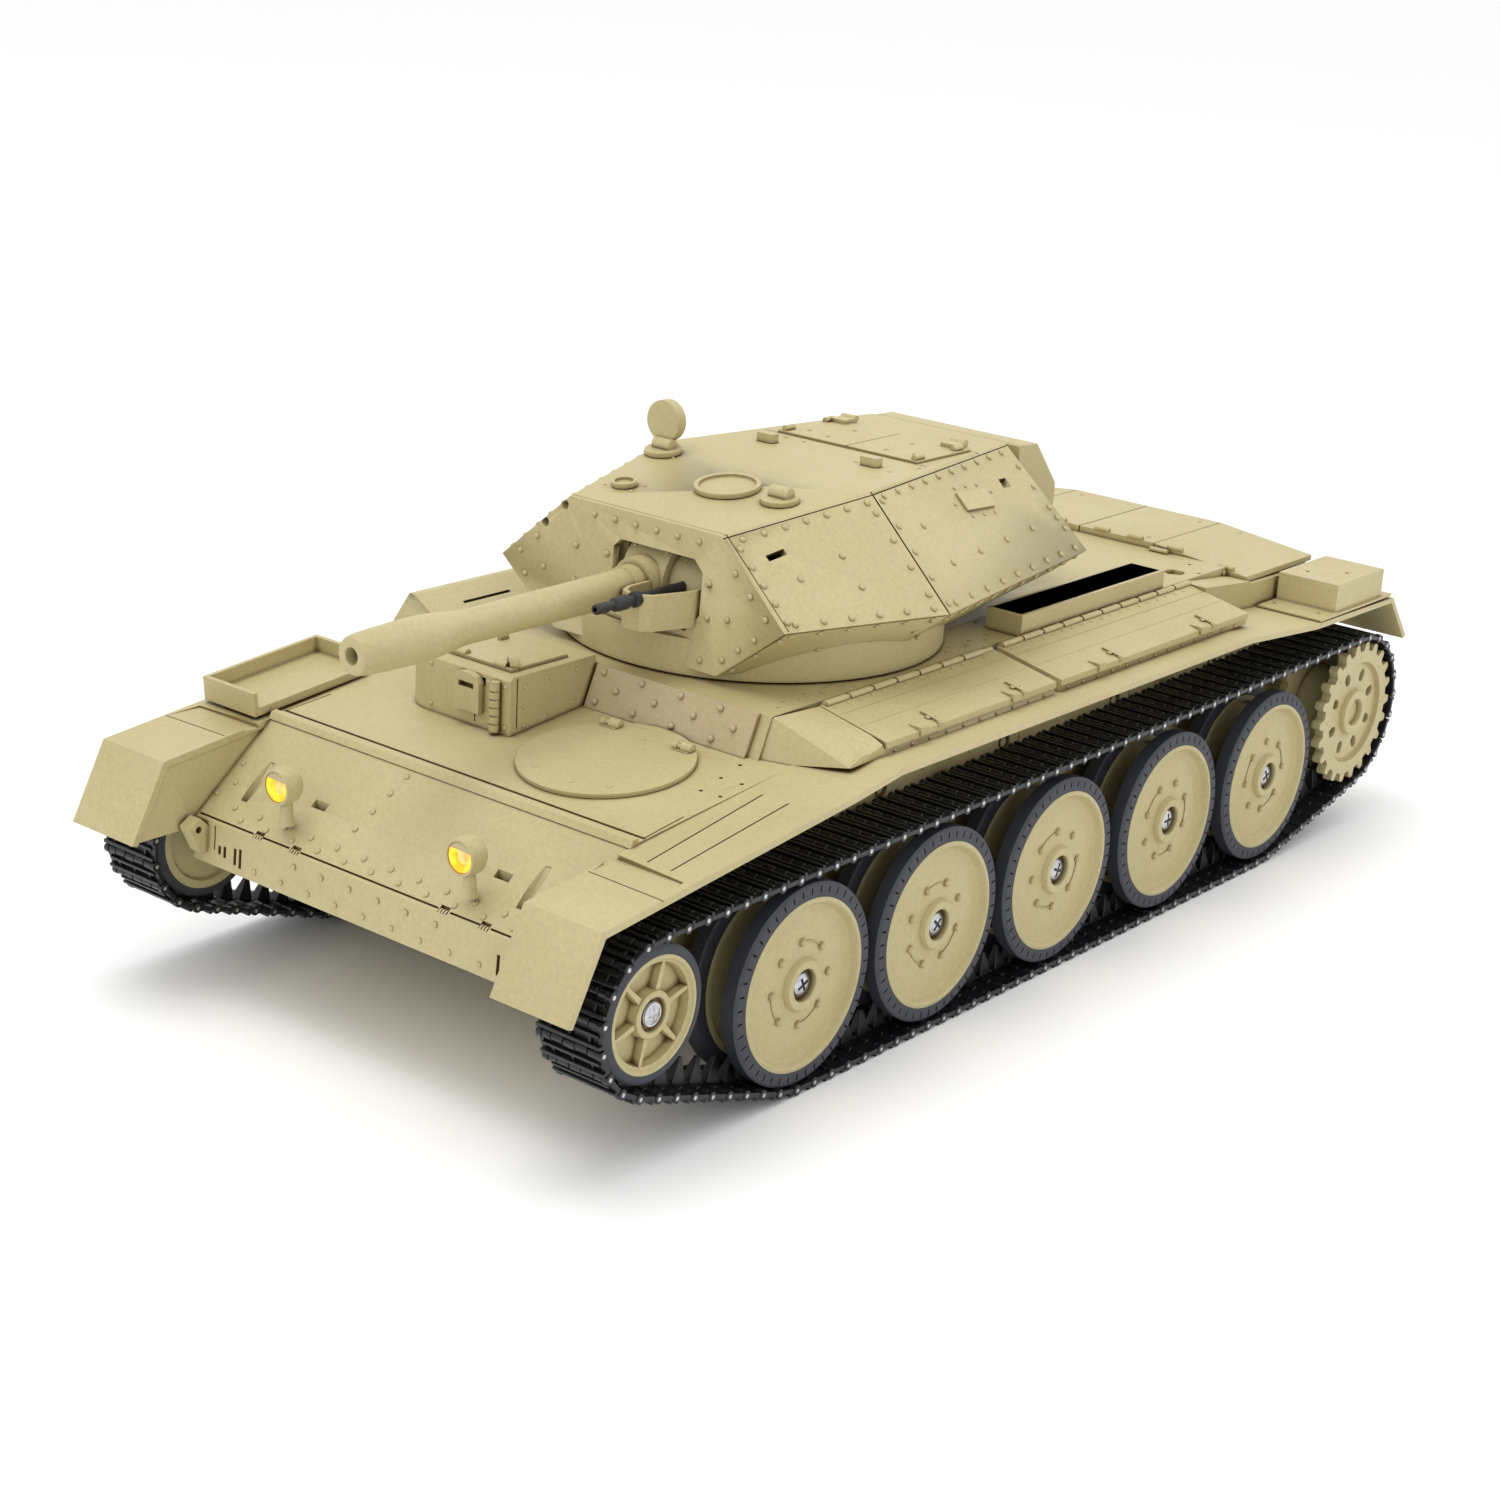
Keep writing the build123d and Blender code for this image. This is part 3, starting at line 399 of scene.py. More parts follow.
PALE = plastic("muzzle_insert", (0.36, 0.36, 0.38), (0.28, 0.28, 0.30), (0.05, 0.05, 0.05), (0.2, 0.35))
AMBER = glow("lamp_lens", (1.0, 0.36, 0.0), (1.0, 0.60, 0.03), 0.9)
AMBER_DIM = glow("lamp_reflector", (0.80, 0.40, 0.08), (0.95, 0.62, 0.22), 0.45)

SLOT_MATERIALS = {
    "sand_plastic": SAND, "track_plastic": TRACK, "dark_metal": DARK_STEEL, "lamp_lens": AMBER,
    "muzzle_insert": PALE, "black_plastic": BLACK, "bright_screw": STEEL, "gear_housing": HOUSING,
    "motor_can": CAN, "battery_wrap": BATTERY, "gear_nylon": NYLON,
}


def paint_cad_nodes():
    """Every CAD node that stays takes the material that its own slot names."""
    for name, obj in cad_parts.items():
        for slot in obj.material_slots:
            key = slot.material.name.split(".")[0] if slot.material else ""
            slot.material = SLOT_MATERIALS.get(key, SAND)
        if not obj.material_slots:
            obj.data.materials.append(SAND)


# ---------------------------------------------------------------- tracks
def belt(circles):
    """A line round circles (y, z, r): its length, and a function from distance to (y, z, normal angle)."""
    n = len(circles)
    joins = []
    for i in range(n):
        ya, za, ra = circles[i]
        yb, zb, rb = circles[(i + 1) % n]
        span = math.hypot(yb - ya, zb - za)
        joins.append(math.atan2(zb - za, yb - ya) + math.pi / 2 + math.asin((rb - ra) / span))
    runs = []
    for i in range(n):
        y, z, r = circles[i]
        a0, a1 = joins[i - 1], joins[i]
        a1 -= 2 * math.pi * math.ceil((a1 - a0) / (2 * math.pi))
        runs.append(("arc", (y, z, r), a0, a1, r * (a0 - a1)))
        yn, zn, rn = circles[(i + 1) % n]
        start = (y + r * math.cos(a1), z + r * math.sin(a1))
        end = (yn + rn * math.cos(a1), zn + rn * math.sin(a1))
        runs.append(("line", start, end, a1, math.dist(start, end)))
    length = sum(run[4] for run in runs)

    def at(distance):
        distance %= length
        for kind, first, second, third, span in runs:
            if distance <= span:
                t = distance / span
                if kind == "arc":
                    angle = second + (third - second) * t
                    return first[0] + first[2] * math.cos(angle), first[1] + first[2] * math.sin(angle), angle
                return first[0] + (second[0] - first[0]) * t, first[1] + (second[1] - first[1]) * t, third
            distance -= span
        return at(0.0)

    return length, at


def link_shape(pitch):
    """One track link: x runs across, y along the track and z outwards from the pin line."""
    bm = bmesh.new()
    half = pitch / 2
    centre = (TRACK_IN + TRACK_OUT) / 2
    width = TRACK_OUT - TRACK_IN
    edge = width / 2
    brick(bm, (-edge + 1.0, -half + 1.0, 0.0), (edge - 1.0, half - 1.0, 0.7))
    brick(bm, (-edge + 0.2, -1.95, 0.2), (edge - 0.2, -1.0, 2.03))
    brick(bm, (-edge + 1.2, 0.55, 0.2), (edge - 1.2, 1.4, 1.7))
    for x in (-5.8, 0.0, 5.8):
        brick(bm, (x - 0.4, -1.2, 0.5), (x + 0.4, 0.8, 1.35))
    for end, spans in ((1, ((-edge + 1.7, -5.6), (-1.6, 1.6), (5.6, edge - 1.7))),
                       (-1, ((-5.3, -1.9), (1.9, 5.3)))):
        for x0, x1 in spans:
            rod(bm, 1.1, x0, x1, local((0, end * half, 0.6), (1, 0, 0)), 12)
            near, far = sorted((end * half, end * (half - 1.8)))
            brick(bm, (x0, near, 0.0), (x1, far, 0.9))
    for side in (-1, 1):
        x0, x1 = sorted((side * edge, side * (edge - 1.6)))
        rod(bm, 1.3, x0, x1, local((0, half, 0.6), (1, 0, 0)), 14)
        brick(bm, (x0 + 0.1, -1.9, 0.0), (x1 - 0.1, half, 1.15))
    base, tip = 2.5, 0.45
    points = [(sx * 1.7, sy * base, 0.3) for sx, sy in ((-1, -1), (1, -1), (1, 1), (-1, 1))]
    points += [(sx * 0.6, sy * tip, -6.1) for sx, sy in ((-1, -1), (1, -1), (1, 1), (-1, 1))]
    faces = [(3, 2, 1, 0), (4, 5, 6, 7)] + [(i, (i + 1) % 4, 4 + (i + 1) % 4, 4 + i) for i in range(4)]
    add(bm, points, faces)
    rounding = {"width": 0.14, "segments": 1, "limit_method": "ANGLE", "angle_limit": math.radians(40)}
    return centre, evaluated(mesh_of(bm), [("BEVEL", rounding)])


def build_tracks():
    circles = [IDLER, SPROCKET, (WHEEL_Y[-1], WHEEL_Z, BELT_WHEEL_R), (WHEEL_Y[0], WHEEL_Z, BELT_WHEEL_R)]
    length, at = belt(circles)
    count = round(length / LINK_PITCH)
    pitch = length / count
    centre, link = link_shape(pitch)
    for side, sx in SIDES:
        places = []
        pins = bmesh.new()
        for k in range(count):
            y0, z0, _ = at(pitch * k)
            y1, z1, _ = at(pitch * (k + 1))
            along = Vector((0, y1 - y0, z1 - z0)).normalized()
            _, _, facing = at(pitch * (k + 0.5))
            out = along.cross(Vector((1, 0, 0)))
            if out.dot(Vector((0, math.cos(facing), math.sin(facing)))) <= 0:
                out = -out
            side_axis = along.cross(out)
            place = Matrix((side_axis, along, out)).transposed().to_4x4()
            place.translation = Vector((sx * centre, (y0 + y1) / 2, (z0 + z1) / 2))
            places.append(place)
            head = local(place @ Vector((0, pitch / 2, 0.6)), (1, 0, 0))
            half = (TRACK_OUT - TRACK_IN) / 2
            lathe(pins, [(-half - 0.12, 0), (-half - 0.02, 0.55), (half + 0.02, 0.55), (half + 0.12, 0)],
                  head, 10)
        piece(f"track_links_{side}", stamped(link, places), "hull", [f"track_{side}"], slot="track_plastic",
              sharp=30)
        piece(f"track_pins_{side}", pins, "hull", slot="dark_metal", material=STEEL, sharp=60)


# ---------------------------------------------------------------- wheels
def screw_head(radius, height):
    """A pan head screw with a cross recess, on the z axis."""
    bm = bmesh.new()
    lathe(bm, [(0, 0), (0, radius), (height * 0.5, radius), (height * 0.85, radius * 0.8),
               (height, radius * 0.45), (height, 0)],
          ONE, 32)
    cross = bmesh.new()
    arm, slot = radius * 0.62, radius * 0.13
    brick(cross, (-arm, -slot, height * 0.2), (arm, slot, height + 1))
    brick(cross, (-slot, -arm, height * 0.2), (slot, arm, height + 1))
    return carved(mesh_of(bm), cross)


def dish_mesh():
    """A double road wheel about the z axis, with z = 0 at the middle of the pair and the hub to +z."""
    bm = bmesh.new()
    outer = [
        (3.6, 2.06), (3.6, 21.7), (8.5, 21.7), (8.75, 21.2), (8.75, 20.7), (8.3, 20.2), (7.2, 19.7),
        (6.5, 18.9), (6.35, 17.5),
        (6.8, 12.0), (6.95, 8.6), (7.3, 6.7), (8.6, 6.2), (8.8, 5.9), (8.8, 4.5), (8.5, 4.15), (6.4, 4.0),
        (6.4, 2.06),
    ]
    lathe(bm, outer, ONE, 96)
    inner = [
        (-8.5, 2.06), (-8.5, 6.2), (-6.9, 7.0), (-6.9, 19.4), (-8.5, 20.1), (-8.5, 21.7), (-3.6, 21.7),
        (-3.6, 20.1),
        (-5.3, 19.4), (-5.3, 5.9), (3.7, 5.9), (3.7, 2.06),
    ]
    lathe(bm, inner, ONE, 96)
    for k in range(8):
        a = math.radians(45 * k + 22.5)
        x, y = DISH_BOLT_R * math.cos(a), DISH_BOLT_R * math.sin(a)
        lathe(bm, [(6.3, 0), (6.3, 1.05), (7.45, 0.95), (7.85, 0.6), (7.95, 0)], local((x, y, 0), (0, 0, 1)),
              12)
    ridge = 0.16
    for start in (0, 3, 5):
        for step in range(9):
            a = math.radians(45 * start + 22.5 + 5 * step)
            b = a + math.radians(5)
            points = [(DISH_BOLT_R * math.cos(t), DISH_BOLT_R * math.sin(t), 6.7) for t in (a, b)]
            place = local(points[0], (0, 0, 1), Vector(points[1]) - Vector(points[0]))
            span = (Vector(points[1]) - Vector(points[0])).length
            brick(bm, (-ridge, -0.05, -0.2), (ridge, span + 0.05, 0.38), place)
    return mesh_of(bm)


def tyre_mesh(spans, inside, outside, ticks):
    """Tyres about the z axis, with short radial pockets moulded in the outer wall."""
    bm = bmesh.new()
    for low, high in spans:
        lathe(bm, [(low, inside), (low + 0.1, outside - 0.9), (low + 0.7, outside), (high - 0.7, outside),
                   (high - 0.1, outside - 0.9), (high, inside + 0.2), (high - 0.05, inside)], ONE, 96)
    mesh = mesh_of(bm)
    if not ticks:
        return mesh
    cutters = bmesh.new()
    low, high = spans[-1]
    for k in range(ticks):
        place = Matrix.Rotation(2 * math.pi * k / ticks, 4, "Z")
        brick(cutters, (inside + 1.15, -0.22, high - 0.5), (outside - 1.0, 0.22, high + 1), place)
    return carved(mesh, cutters)


def build_road_wheels():
    dish = dish_mesh()
    tyres = tyre_mesh(((-8.5, -3.6), (3.6, 8.5)), 21.65, 25.4, 44)
    screw = screw_head(3.1, 1.5)
    for side, sx in SIDES:
        for n, y in enumerate(WHEEL_Y, 1):
            place = local((sx * WHEEL_MIDDLE, y, WHEEL_Z), (sx, 0, 0)) @ Matrix.Rotation(0.4 * n, 4, "Z")
            body = f"wheel_{side}_{n}"
            piece(f"road_wheel_{side}_{n}", placed(dish, place), body, [body], sharp=42)
            piece(f"road_tyres_{side}_{n}", placed(tyres, place), body, slot="track_plastic", material=RUBBER,
                  sharp=35)
            head = place @ Matrix.Translation((0, 0, 6.55))
            piece(f"wheel_screw_{side}_{n}", placed(screw, head), f"arm_{side}_{n}", slot="bright_screw",
                  sharp=30)


def placed(mesh, place):
    copy = mesh.copy()
    copy.transform(place)
    return copy


def idler_mesh():
    """The spoked idler about the z axis: outer face at z = 7.5."""
    bm = bmesh.new()
    lathe(bm, [(-7.6, 2.06), (-7.6, 4.6), (-6.6, 4.8), (-6.6, 11.6), (-7.6, 12.2), (-7.6, 14.1), (-4.0, 14.1),
               (-4.0, 11.6),
               (-4.8, 11.4), (-4.8, 4.2), (3.3, 4.2), (3.3, 11.8), (4.0, 12.0), (4.0, 14.1), (7.4, 14.1),
               (7.55, 13.8), (7.55, 13.2),
               (7.2, 12.9), (6.9, 12.6), (6.7, 12.2), (4.3, 11.9), (4.3, 5.9), (7.0, 5.6), (7.2, 5.3),
               (7.2, 4.3),
               (6.9, 4.0), (5.6, 3.9), (5.6, 2.06)], ONE, 72)
    for k in range(6):
        place = Matrix.Rotation(2 * math.pi * k / 6 + 0.25, 4, "Z")
        prism(bm, [(5.3, -0.75), (12.4, -0.45), (12.4, 0.45), (5.3, 0.75)], 4.0, 6.6, place)
    return mesh_of(bm)


def build_idlers():
    wheel = idler_mesh()
    tyres = tyre_mesh(((-7.6, -4.0), (4.0, 7.5)), 14.05, 16.4, 0)
    screw = screw_head(2.9, 1.2)
    y, z, _ = IDLER
    for side, sx in SIDES:
        place = local((sx * WHEEL_MIDDLE, y, z), (sx, 0, 0))
        body = f"idler_{side}"
        piece(f"idler_wheel_{side}", placed(wheel, place), body, [body], sharp=42)
        piece(f"idler_tyres_{side}", placed(tyres, place), body, slot="track_plastic", material=RUBBER,
              sharp=35)
        head = place @ Matrix.Translation((0, 0, 5.95))
        piece(f"idler_screw_{side}", placed(screw, head), "hull", slot="bright_screw", sharp=30)


def sprocket_mesh():
    """The toothed drive wheel about the z axis: outer face at z = 8.5, plain disc inboard."""
    bm = bmesh.new()
    teeth, root, tip = 22, 19.5, 22.1
    for z0, z1 in ((5.6, 8.5), (-8.5, -6.0)):
        outline = []
        for k in range(teeth):
            a = 2 * math.pi * k / teeth
            for r, da in ((root, -0.085), (tip - 0.5, -0.052), (tip, -0.03), (tip, 0.03), (tip - 0.5, 0.052),
                          (root, 0.085)):
                outline.append((r * math.cos(a + da), r * math.sin(a + da)))
        prism(bm, outline, z0, z1)
    body = mesh_of(bm)
    cutters = bmesh.new()
    lathe(cutters, [(7.1, 0), (7.1, 15.4), (7.7, 15.7), (9.5, 15.9), (9.5, 0)], ONE, 72)
    for k in range(8):
        a = 2 * math.pi * (k + 0.5) / 8
        oval = [(2.05 * math.cos(t * math.pi / 10), 1.55 * math.sin(t * math.pi / 10)) for t in range(20)]
        spin = local((11.6 * math.cos(a), 11.6 * math.sin(a), 0), (0, 0, 1)) @ Matrix.Rotation(a, 4, "Z")
        prism(cutters, oval, 5.0, 9.5, spin)
    body = carved(body, cutters)
    more = bmesh.new()
    more.from_mesh(body)
    lathe(more, [(-8.4, 0), (-8.4, 6.0), (-6.0, 12.0), (5.2, 12.0), (5.4, 8.4), (7.0, 8.2), (7.2, 7.2),
                 (8.7, 6.8), (8.8, 6.5), (8.8, 4.5),
                 (8.6, 4.2), (6.9, 4.0), (6.9, 0)], ONE, 72)
    for k in range(8):
        a = 2 * math.pi * k / 8
        dome(more, (17.3 * math.cos(a), 17.3 * math.sin(a), 8.45), (0, 0, 1), 0.45, 0.25)
    return mesh_of(more)


def build_sprockets():
    wheel = sprocket_mesh()
    y, z, _ = SPROCKET
    for side, sx in SIDES:
        place = local((sx * WHEEL_MIDDLE, y, z), (sx, 0, 0))
        body = f"sprocket_{side}"
        piece(f"sprocket_wheel_{side}", placed(wheel, place), body, [body], bevel=0.16, sharp=42)


# ---------------------------------------------------------------- turret
def turret_planes():
    """The faces of the turret as (point, normal), with left and right ones named by side."""
    planes = {
        "front": ((0, -78.0, 100.0), (0, -1, 0.06)), "rear": ((0, 50.5, 100.0), (0, 1, 0.12)),
        "slope": ((0, -77.1, 119.6), (0, -0.124, 1)), "roof": ((0, 0, 125.6), (0, 0.004, 1)),
        "floor": ((0, 0, 84.6), (0, 0, -1)), "tail": ((0, 19.5, 88.8), (0, 0.0753, -1)),
    }
    for side, sx in SIDES:
        corner = (sx * WAIST[0], WAIST[1], WAIST[2])
        planes["up_front_" + side] = (corner, (sx * 0.637, -0.226, 0.737))
        planes["up_rear_" + side] = (corner, (sx * 0.664, 0.103, 0.741))
        planes["low_front_" + side] = (corner, (sx * 0.600, -0.213, -0.771))
        planes["low_rear_" + side] = (corner, (sx * 0.607, 0.094, -0.789))
    return planes


def edge_points(corners, normal, start, end, inset, ends, count):
    """Points along the edge from corners[start] to corners[end], moved into the face."""
    a, b = corners[start], corners[end]
    middle = sum(corners, Vector()) / len(corners)
    along = (b - a).normalized()
    inward = Vector(normal).normalized().cross(along)
    if inward.dot(middle - a) < 0:
        inward = -inward
    return row(a + along * ends[0] + inward * inset, b - along * ends[1] + inward * inset, count)


def turret_faces():
    """Each riveted face as its corners and its normal, from the top front corner round."""
    p = turret_planes()
    faces = {}
    for side, _ in SIDES:
        up_front, up_rear = p["up_front_" + side], p["up_rear_" + side]
        low_front, low_rear = p["low_front_" + side], p["low_rear_" + side]
        waist_front = meet(p["front"], up_front, low_front)
        waist = Vector(up_front[0])
        waist_rear = meet(p["rear"], up_rear, low_rear)
        top_front = meet(p["front"], p["slope"], up_front)
        top_seam = meet(p["slope"], up_front, up_rear)
        top_rear = meet(p["roof"], p["rear"], up_rear)
        foot_front = meet(p["front"], low_front, p["floor"])
        foot = meet(low_front, low_rear, p["floor"])
        foot_rear = meet(p["rear"], low_rear, p["tail"])
        faces["up_front_" + side] = ([top_front, top_seam, waist, waist_front], up_front[1])
        faces["up_rear_" + side] = ([top_seam, top_rear, waist_rear, waist], up_rear[1])
        faces["low_front_" + side] = ([waist_front, waist, foot, foot_front], low_front[1])
        faces["low_rear_" + side] = ([waist, waist_rear, foot_rear, foot], low_rear[1])
    left, right = faces["up_front_left"][0], faces["up_front_right"][0]
    low_left, low_right = faces["low_front_left"][0], faces["low_front_right"][0]
    faces["front"] = ([left[0], left[3], low_left[3], low_right[3], right[3], right[0]], p["front"][1])
    rear_left, rear_right = faces["up_rear_left"][0], faces["up_rear_right"][0]
    foot_left, foot_right = faces["low_rear_left"][0], faces["low_rear_right"][0]
    faces["rear"] = ([rear_left[1], rear_left[2], foot_left[2], foot_right[2], rear_right[2], rear_right[1]],
                     p["rear"][1])
    return faces


def turret_rivets(faces):
    bm = bmesh.new()
    plan = {
        "up_front": [(0, 1, 2.6, (5, 3), 7), (3, 0, 2.6, (2.5, 5.0), 5), (3, 2, 2.2, (4, 4), 6),
                     (2, 1, 2.4, (7.0, 6.0), 4)],
        "up_rear": [(0, 1, 2.2, (4, 6), 10), (0, 3, 2.2, (3.0, 3.0), 5), (3, 2, 1.9, (6, 5), 9),
                    (1, 2, 2.6, (8, 8), 4)],
        "low_front": [(0, 1, 2.2, (3, 4), 6), (3, 0, 2.2, (4, 4), 3), (1, 2, 2.2, (4, 8), 3)],
        "low_rear": [(0, 1, 2.2, (4, 4), 10), (0, 1, 5.2, (6, 6), 9)],
    }
    for key, (corners, normal) in faces.items():
        for start, end, inset, ends, count in plan.get(key.rsplit("_", 1)[0], []):
            for point in edge_points(corners, normal, start, end, inset, ends, count):
                dome(bm, point, normal)
    corners, normal = faces["front"]
    front = [(5, 0, 2.9, (9.0, 6.8), 6), (0, 1, 2.6, (9.6, 6.0), 3), (1, 2, 2.6, (9.5, 4.0), 3),
             (3, 2, 2.8, (12, 5.5), 6)]
    front += [(4, 5, 2.6, (6.5, 16.0), 2), (3, 4, 2.6, (4.0, 9.0), 3)]
    for start, end, inset, ends, count in front:
        for point in edge_points(corners, normal, start, end, inset, ends, count):
            dome(bm, point, normal)
    for x, z in ((-21.9, 107.5), (-32.6, 99.6), (-21.7, 98.5), (-11.2, 107.5), (23.0, 107.2), (23.2, 98.5),
                 (29.6, 99.5)):
        dome(bm, (x, -78.0 + 0.06 * (z - 100.0), z), normal)
    for side, sx in SIDES:
        normal = faces["up_front_" + side][1]
        for x, y, z in ((42.2, -49.5, 113.5), (41.1, -64.4, 109.9), (49.4, -50.1, 107.1)):
            dome(bm, on_plane((sx * x, y, z), faces["up_front_" + side]), normal)
        normal = faces["up_rear_" + side][1]
        spots = [(43.6, -17.5, 116.3)] + [tuple(q) for q in row((52.5, -15.6, 108.0), (43.0, 47.0, 108.0), 5)]
        for x, y, z in spots:
            dome(bm, on_plane((sx * x, y, z), faces["up_rear_" + side]), normal)
        for dx, dy in ((-5.2, -5.8), (-5.2, 0.0), (-5.2, 5.8), (5.2, -5.8), (5.2, 0.0), (5.2, 5.8),
                       (0.2, -10.4), (-2.0, 10.6)):
            down = Vector((sx * 0.745, 0, -0.667))
            spot = Vector((sx * PISTOL_PORT[0], *PISTOL_PORT[1:])) + down * dx * 0.9 + Vector((0, 1, 0)) * dy
            dome(bm, on_plane(spot, faces["up_rear_" + side]), normal, 0.5, 0.35)
        for x, y in ((43.6, -58.5), (48.8, -44.3), (53.0, -29.7)):
            dome(bm, on_plane((sx * x, y, 91.2), faces["low_front_" + side]), faces["low_front_" + side][1])
    corners, normal = faces["rear"]
    for start, end, ends, count in ((5, 0, (4, 4), 6), (0, 1, (4, 4), 5), (1, 2, (4, 4), 3),
                                    (2, 3, (5, 5), 8), (3, 4, (4, 4), 3), (4, 5, (4, 4), 5)):
        for point in edge_points(corners, normal, start, end, 2.6, ends, count):
            dome(bm, point, normal)
    return bm


def on_plane(point, face):
    """The point moved along the face's normal onto the face."""
    corners, normal = face
    n = Vector(normal).normalized()
    return Vector(point) - n * (Vector(point) - corners[0]).dot(n)


def build_turret():
    faces = turret_faces()
    cutters = bmesh.new()
    planes = turret_planes()
    for side, sx in SIDES:
        for key, start, end, inset in (
            ("up_front_", 0, 3, 1.5), ("up_front_", 0, 1, 0.9), ("up_rear_", 0, 1, 0.9),
            ("low_front_", 0, 1, 0.9),
            ("low_rear_", 0, 1, 0.9), ("low_front_", 3, 0, 1.4),
        ):
            corners, normal = faces[key + side]
            line = edge_points(corners, normal, start, end, inset, (0.2, 0.2), 2)
            groove(cutters, line[0], line[1], normal, 0.32, 0.45)
        corners, normal = faces["up_front_" + side]
        bend = (Vector(normal).normalized() + Vector(faces["up_rear_" + side][1]).normalized()).normalized()
        groove(cutters, corners[2], corners[1], bend, 0.55, 0.7)
        # vision slot in the front plate, square port in the rear plate
        slot = on_plane((sx * 34.6, -66.3, 115.0), faces["up_front_" + side])
        brick(cutters, (-0.9, -3.0, -5), (0.9, 3.0, 3), local(slot, normal, (0, 1, 0)))
        slot = on_plane((sx * 33.7, 33.4, 118.2), faces["up_rear_" + side])
        brick(cutters, (-1.5, -2.0, -5), (1.5, 2.0, 3), local(slot, faces["up_rear_" + side][1], (0, 1, 0)))
    top_left, top_right = faces["front"][0][0], faces["front"][0][5]
    back = Vector((0, 1.3, 1.3 * 0.124))
    groove(cutters, top_right + back, top_left + back, planes["slope"][1], 0.32, 0.45)
    for x, z in ((-26.8, 117.1), (-33.2, 111.4)):
        rod(cutters, 1.25, -6, 3, local((x, -77.3, z), planes["front"][1]), 20)
    # joints in the roof plates, in front of the hatch and behind it
    for y in (4.6, 30.4):
        groove(cutters, (-27.5, y, 125.55), (27.5, y, 125.55), (0, 0, 1), 0.4, 0.5)
    key = local((*ROUND_PORT, slope_z(ROUND_PORT[1])), planes["slope"][1], (0.5, 1, 0))
    brick(cutters, (-0.6, -2.9, -1.4), (0.6, 1.6, 1), key)
    brick(cutters, (-2.3, 1.2, -1.4), (2.3, 2.4, 1), key)
    shell = carved(cad_copy("turret_shell"), cutters)
    piece("turret_body", shell, "turret", ["turret_shell"], bevel=0.22)
    piece("turret_rivets", turret_rivets(faces), "turret", sharp=60)
    plates = bmesh.new()
    for side, sx in SIDES:
        face = faces["up_rear_" + side]
        centre = on_plane((sx * PISTOL_PORT[0], *PISTOL_PORT[1:]), face)
        prism(plates, [(-2.9, -7.2), (2.9, -7.2), (2.9, 7.2), (-2.9, 7.2)], -0.2, 0.75,
              local(centre, face[1], (0, 1, 0)))
    piece("pistol_port_plates", plates, "turret", bevel=0.18)
    piece("turret_ring", cad_copy("turret_base"), "turret", ["turret_base"], bevel=0.2)
    bin_shape = bmesh.new()
    side_plane = local((0, 0, 0), (1, 0, 0))
    outline = [(51.4, 124.3), (60.6, 123.9), (71.6, 111.0), (71.6, 104.6), (53.4, 103.2)]
    prism(bin_shape, outline, -25.6, 25.6, side_plane)
    lines = bmesh.new()
    groove(lines, (-25.6, 53.2, 124.2), (25.6, 53.2, 124.2), (0, 0.04, 1), 0.35, 0.4)
    piece("turret_stowage_bin", carved(mesh_of(bin_shape), lines), "turret", ["turret_bin"], bevel=0.35)
    piece("roof_hatch", hatch_mesh(), "turret_hatch", ["turret_hatch"], bevel=0.2)
    fittings = bmesh.new()
    fittings.from_mesh(cad_copy("roof_fittings"))
    roof_details(fittings)
    piece("roof_details", fittings, "turret", ["roof_fittings"], bevel=0.14)


def hatch_mesh():
    """The CAD hatch with a seam across it, bolts and two hinges at the corners."""
    cutters = bmesh.new()
    groove(cutters, (0, 5.3, 126.2), (0, 29.7, 126.2), (0, 0, 1), 0.35, 0.45)
    bm = bmesh.new()
    bm.from_mesh(carved(cad_copy("turret_hatch"), cutters))
    for sx in (-1, 1):
        for x, y in ((10.0, 10.0), (18.0, 12.0), (10.0, 22.0)):
            dome(bm, (sx * x, y, 126.2), (0, 0, 1), 0.7, 0.4)
        for y in (8.0, 26.0):
            rod(bm, 0.9, -2.0, 2.0, local((sx * 22.2, y, 126.7), (0, 1, 0)), 12)
    return mesh_of(bm)


def slope_z(y):
    return 119.6 + 0.124 * (y + 77.1)


def roof_details(bm):
    """Small bolts round the roof fittings and a few more on the roof."""
    up = (0, -0.123, 0.992)
    for dx, dy in ((-4.6, -2.4), (4.6, -2.4), (-4.6, 2.8), (4.6, 2.8)):
        dome(bm, (-19.6 + dx, -62.7 + dy, slope_z(-62.7 + dy)), up, 0.55, 0.35)
    for x, y in PERISCOPES:
        for dx, dy in ((-5.0, -1.6), (5.0, -1.6), (0.0, 4.8)):
            if abs(x + dx) < 24.5 or y > -45:
                dome(bm, (x + dx, y + dy, slope_z(y + dy)), up, 0.5, 0.35)
    for x, y in ((12.5, -6.6), (25.0, -8.4), (27.4, 1.4), (-11.5, 1.2), (-18.0, 1.4)):
        dome(bm, (x, y, 125.6), (0, 0, 1), 0.6, 0.4)


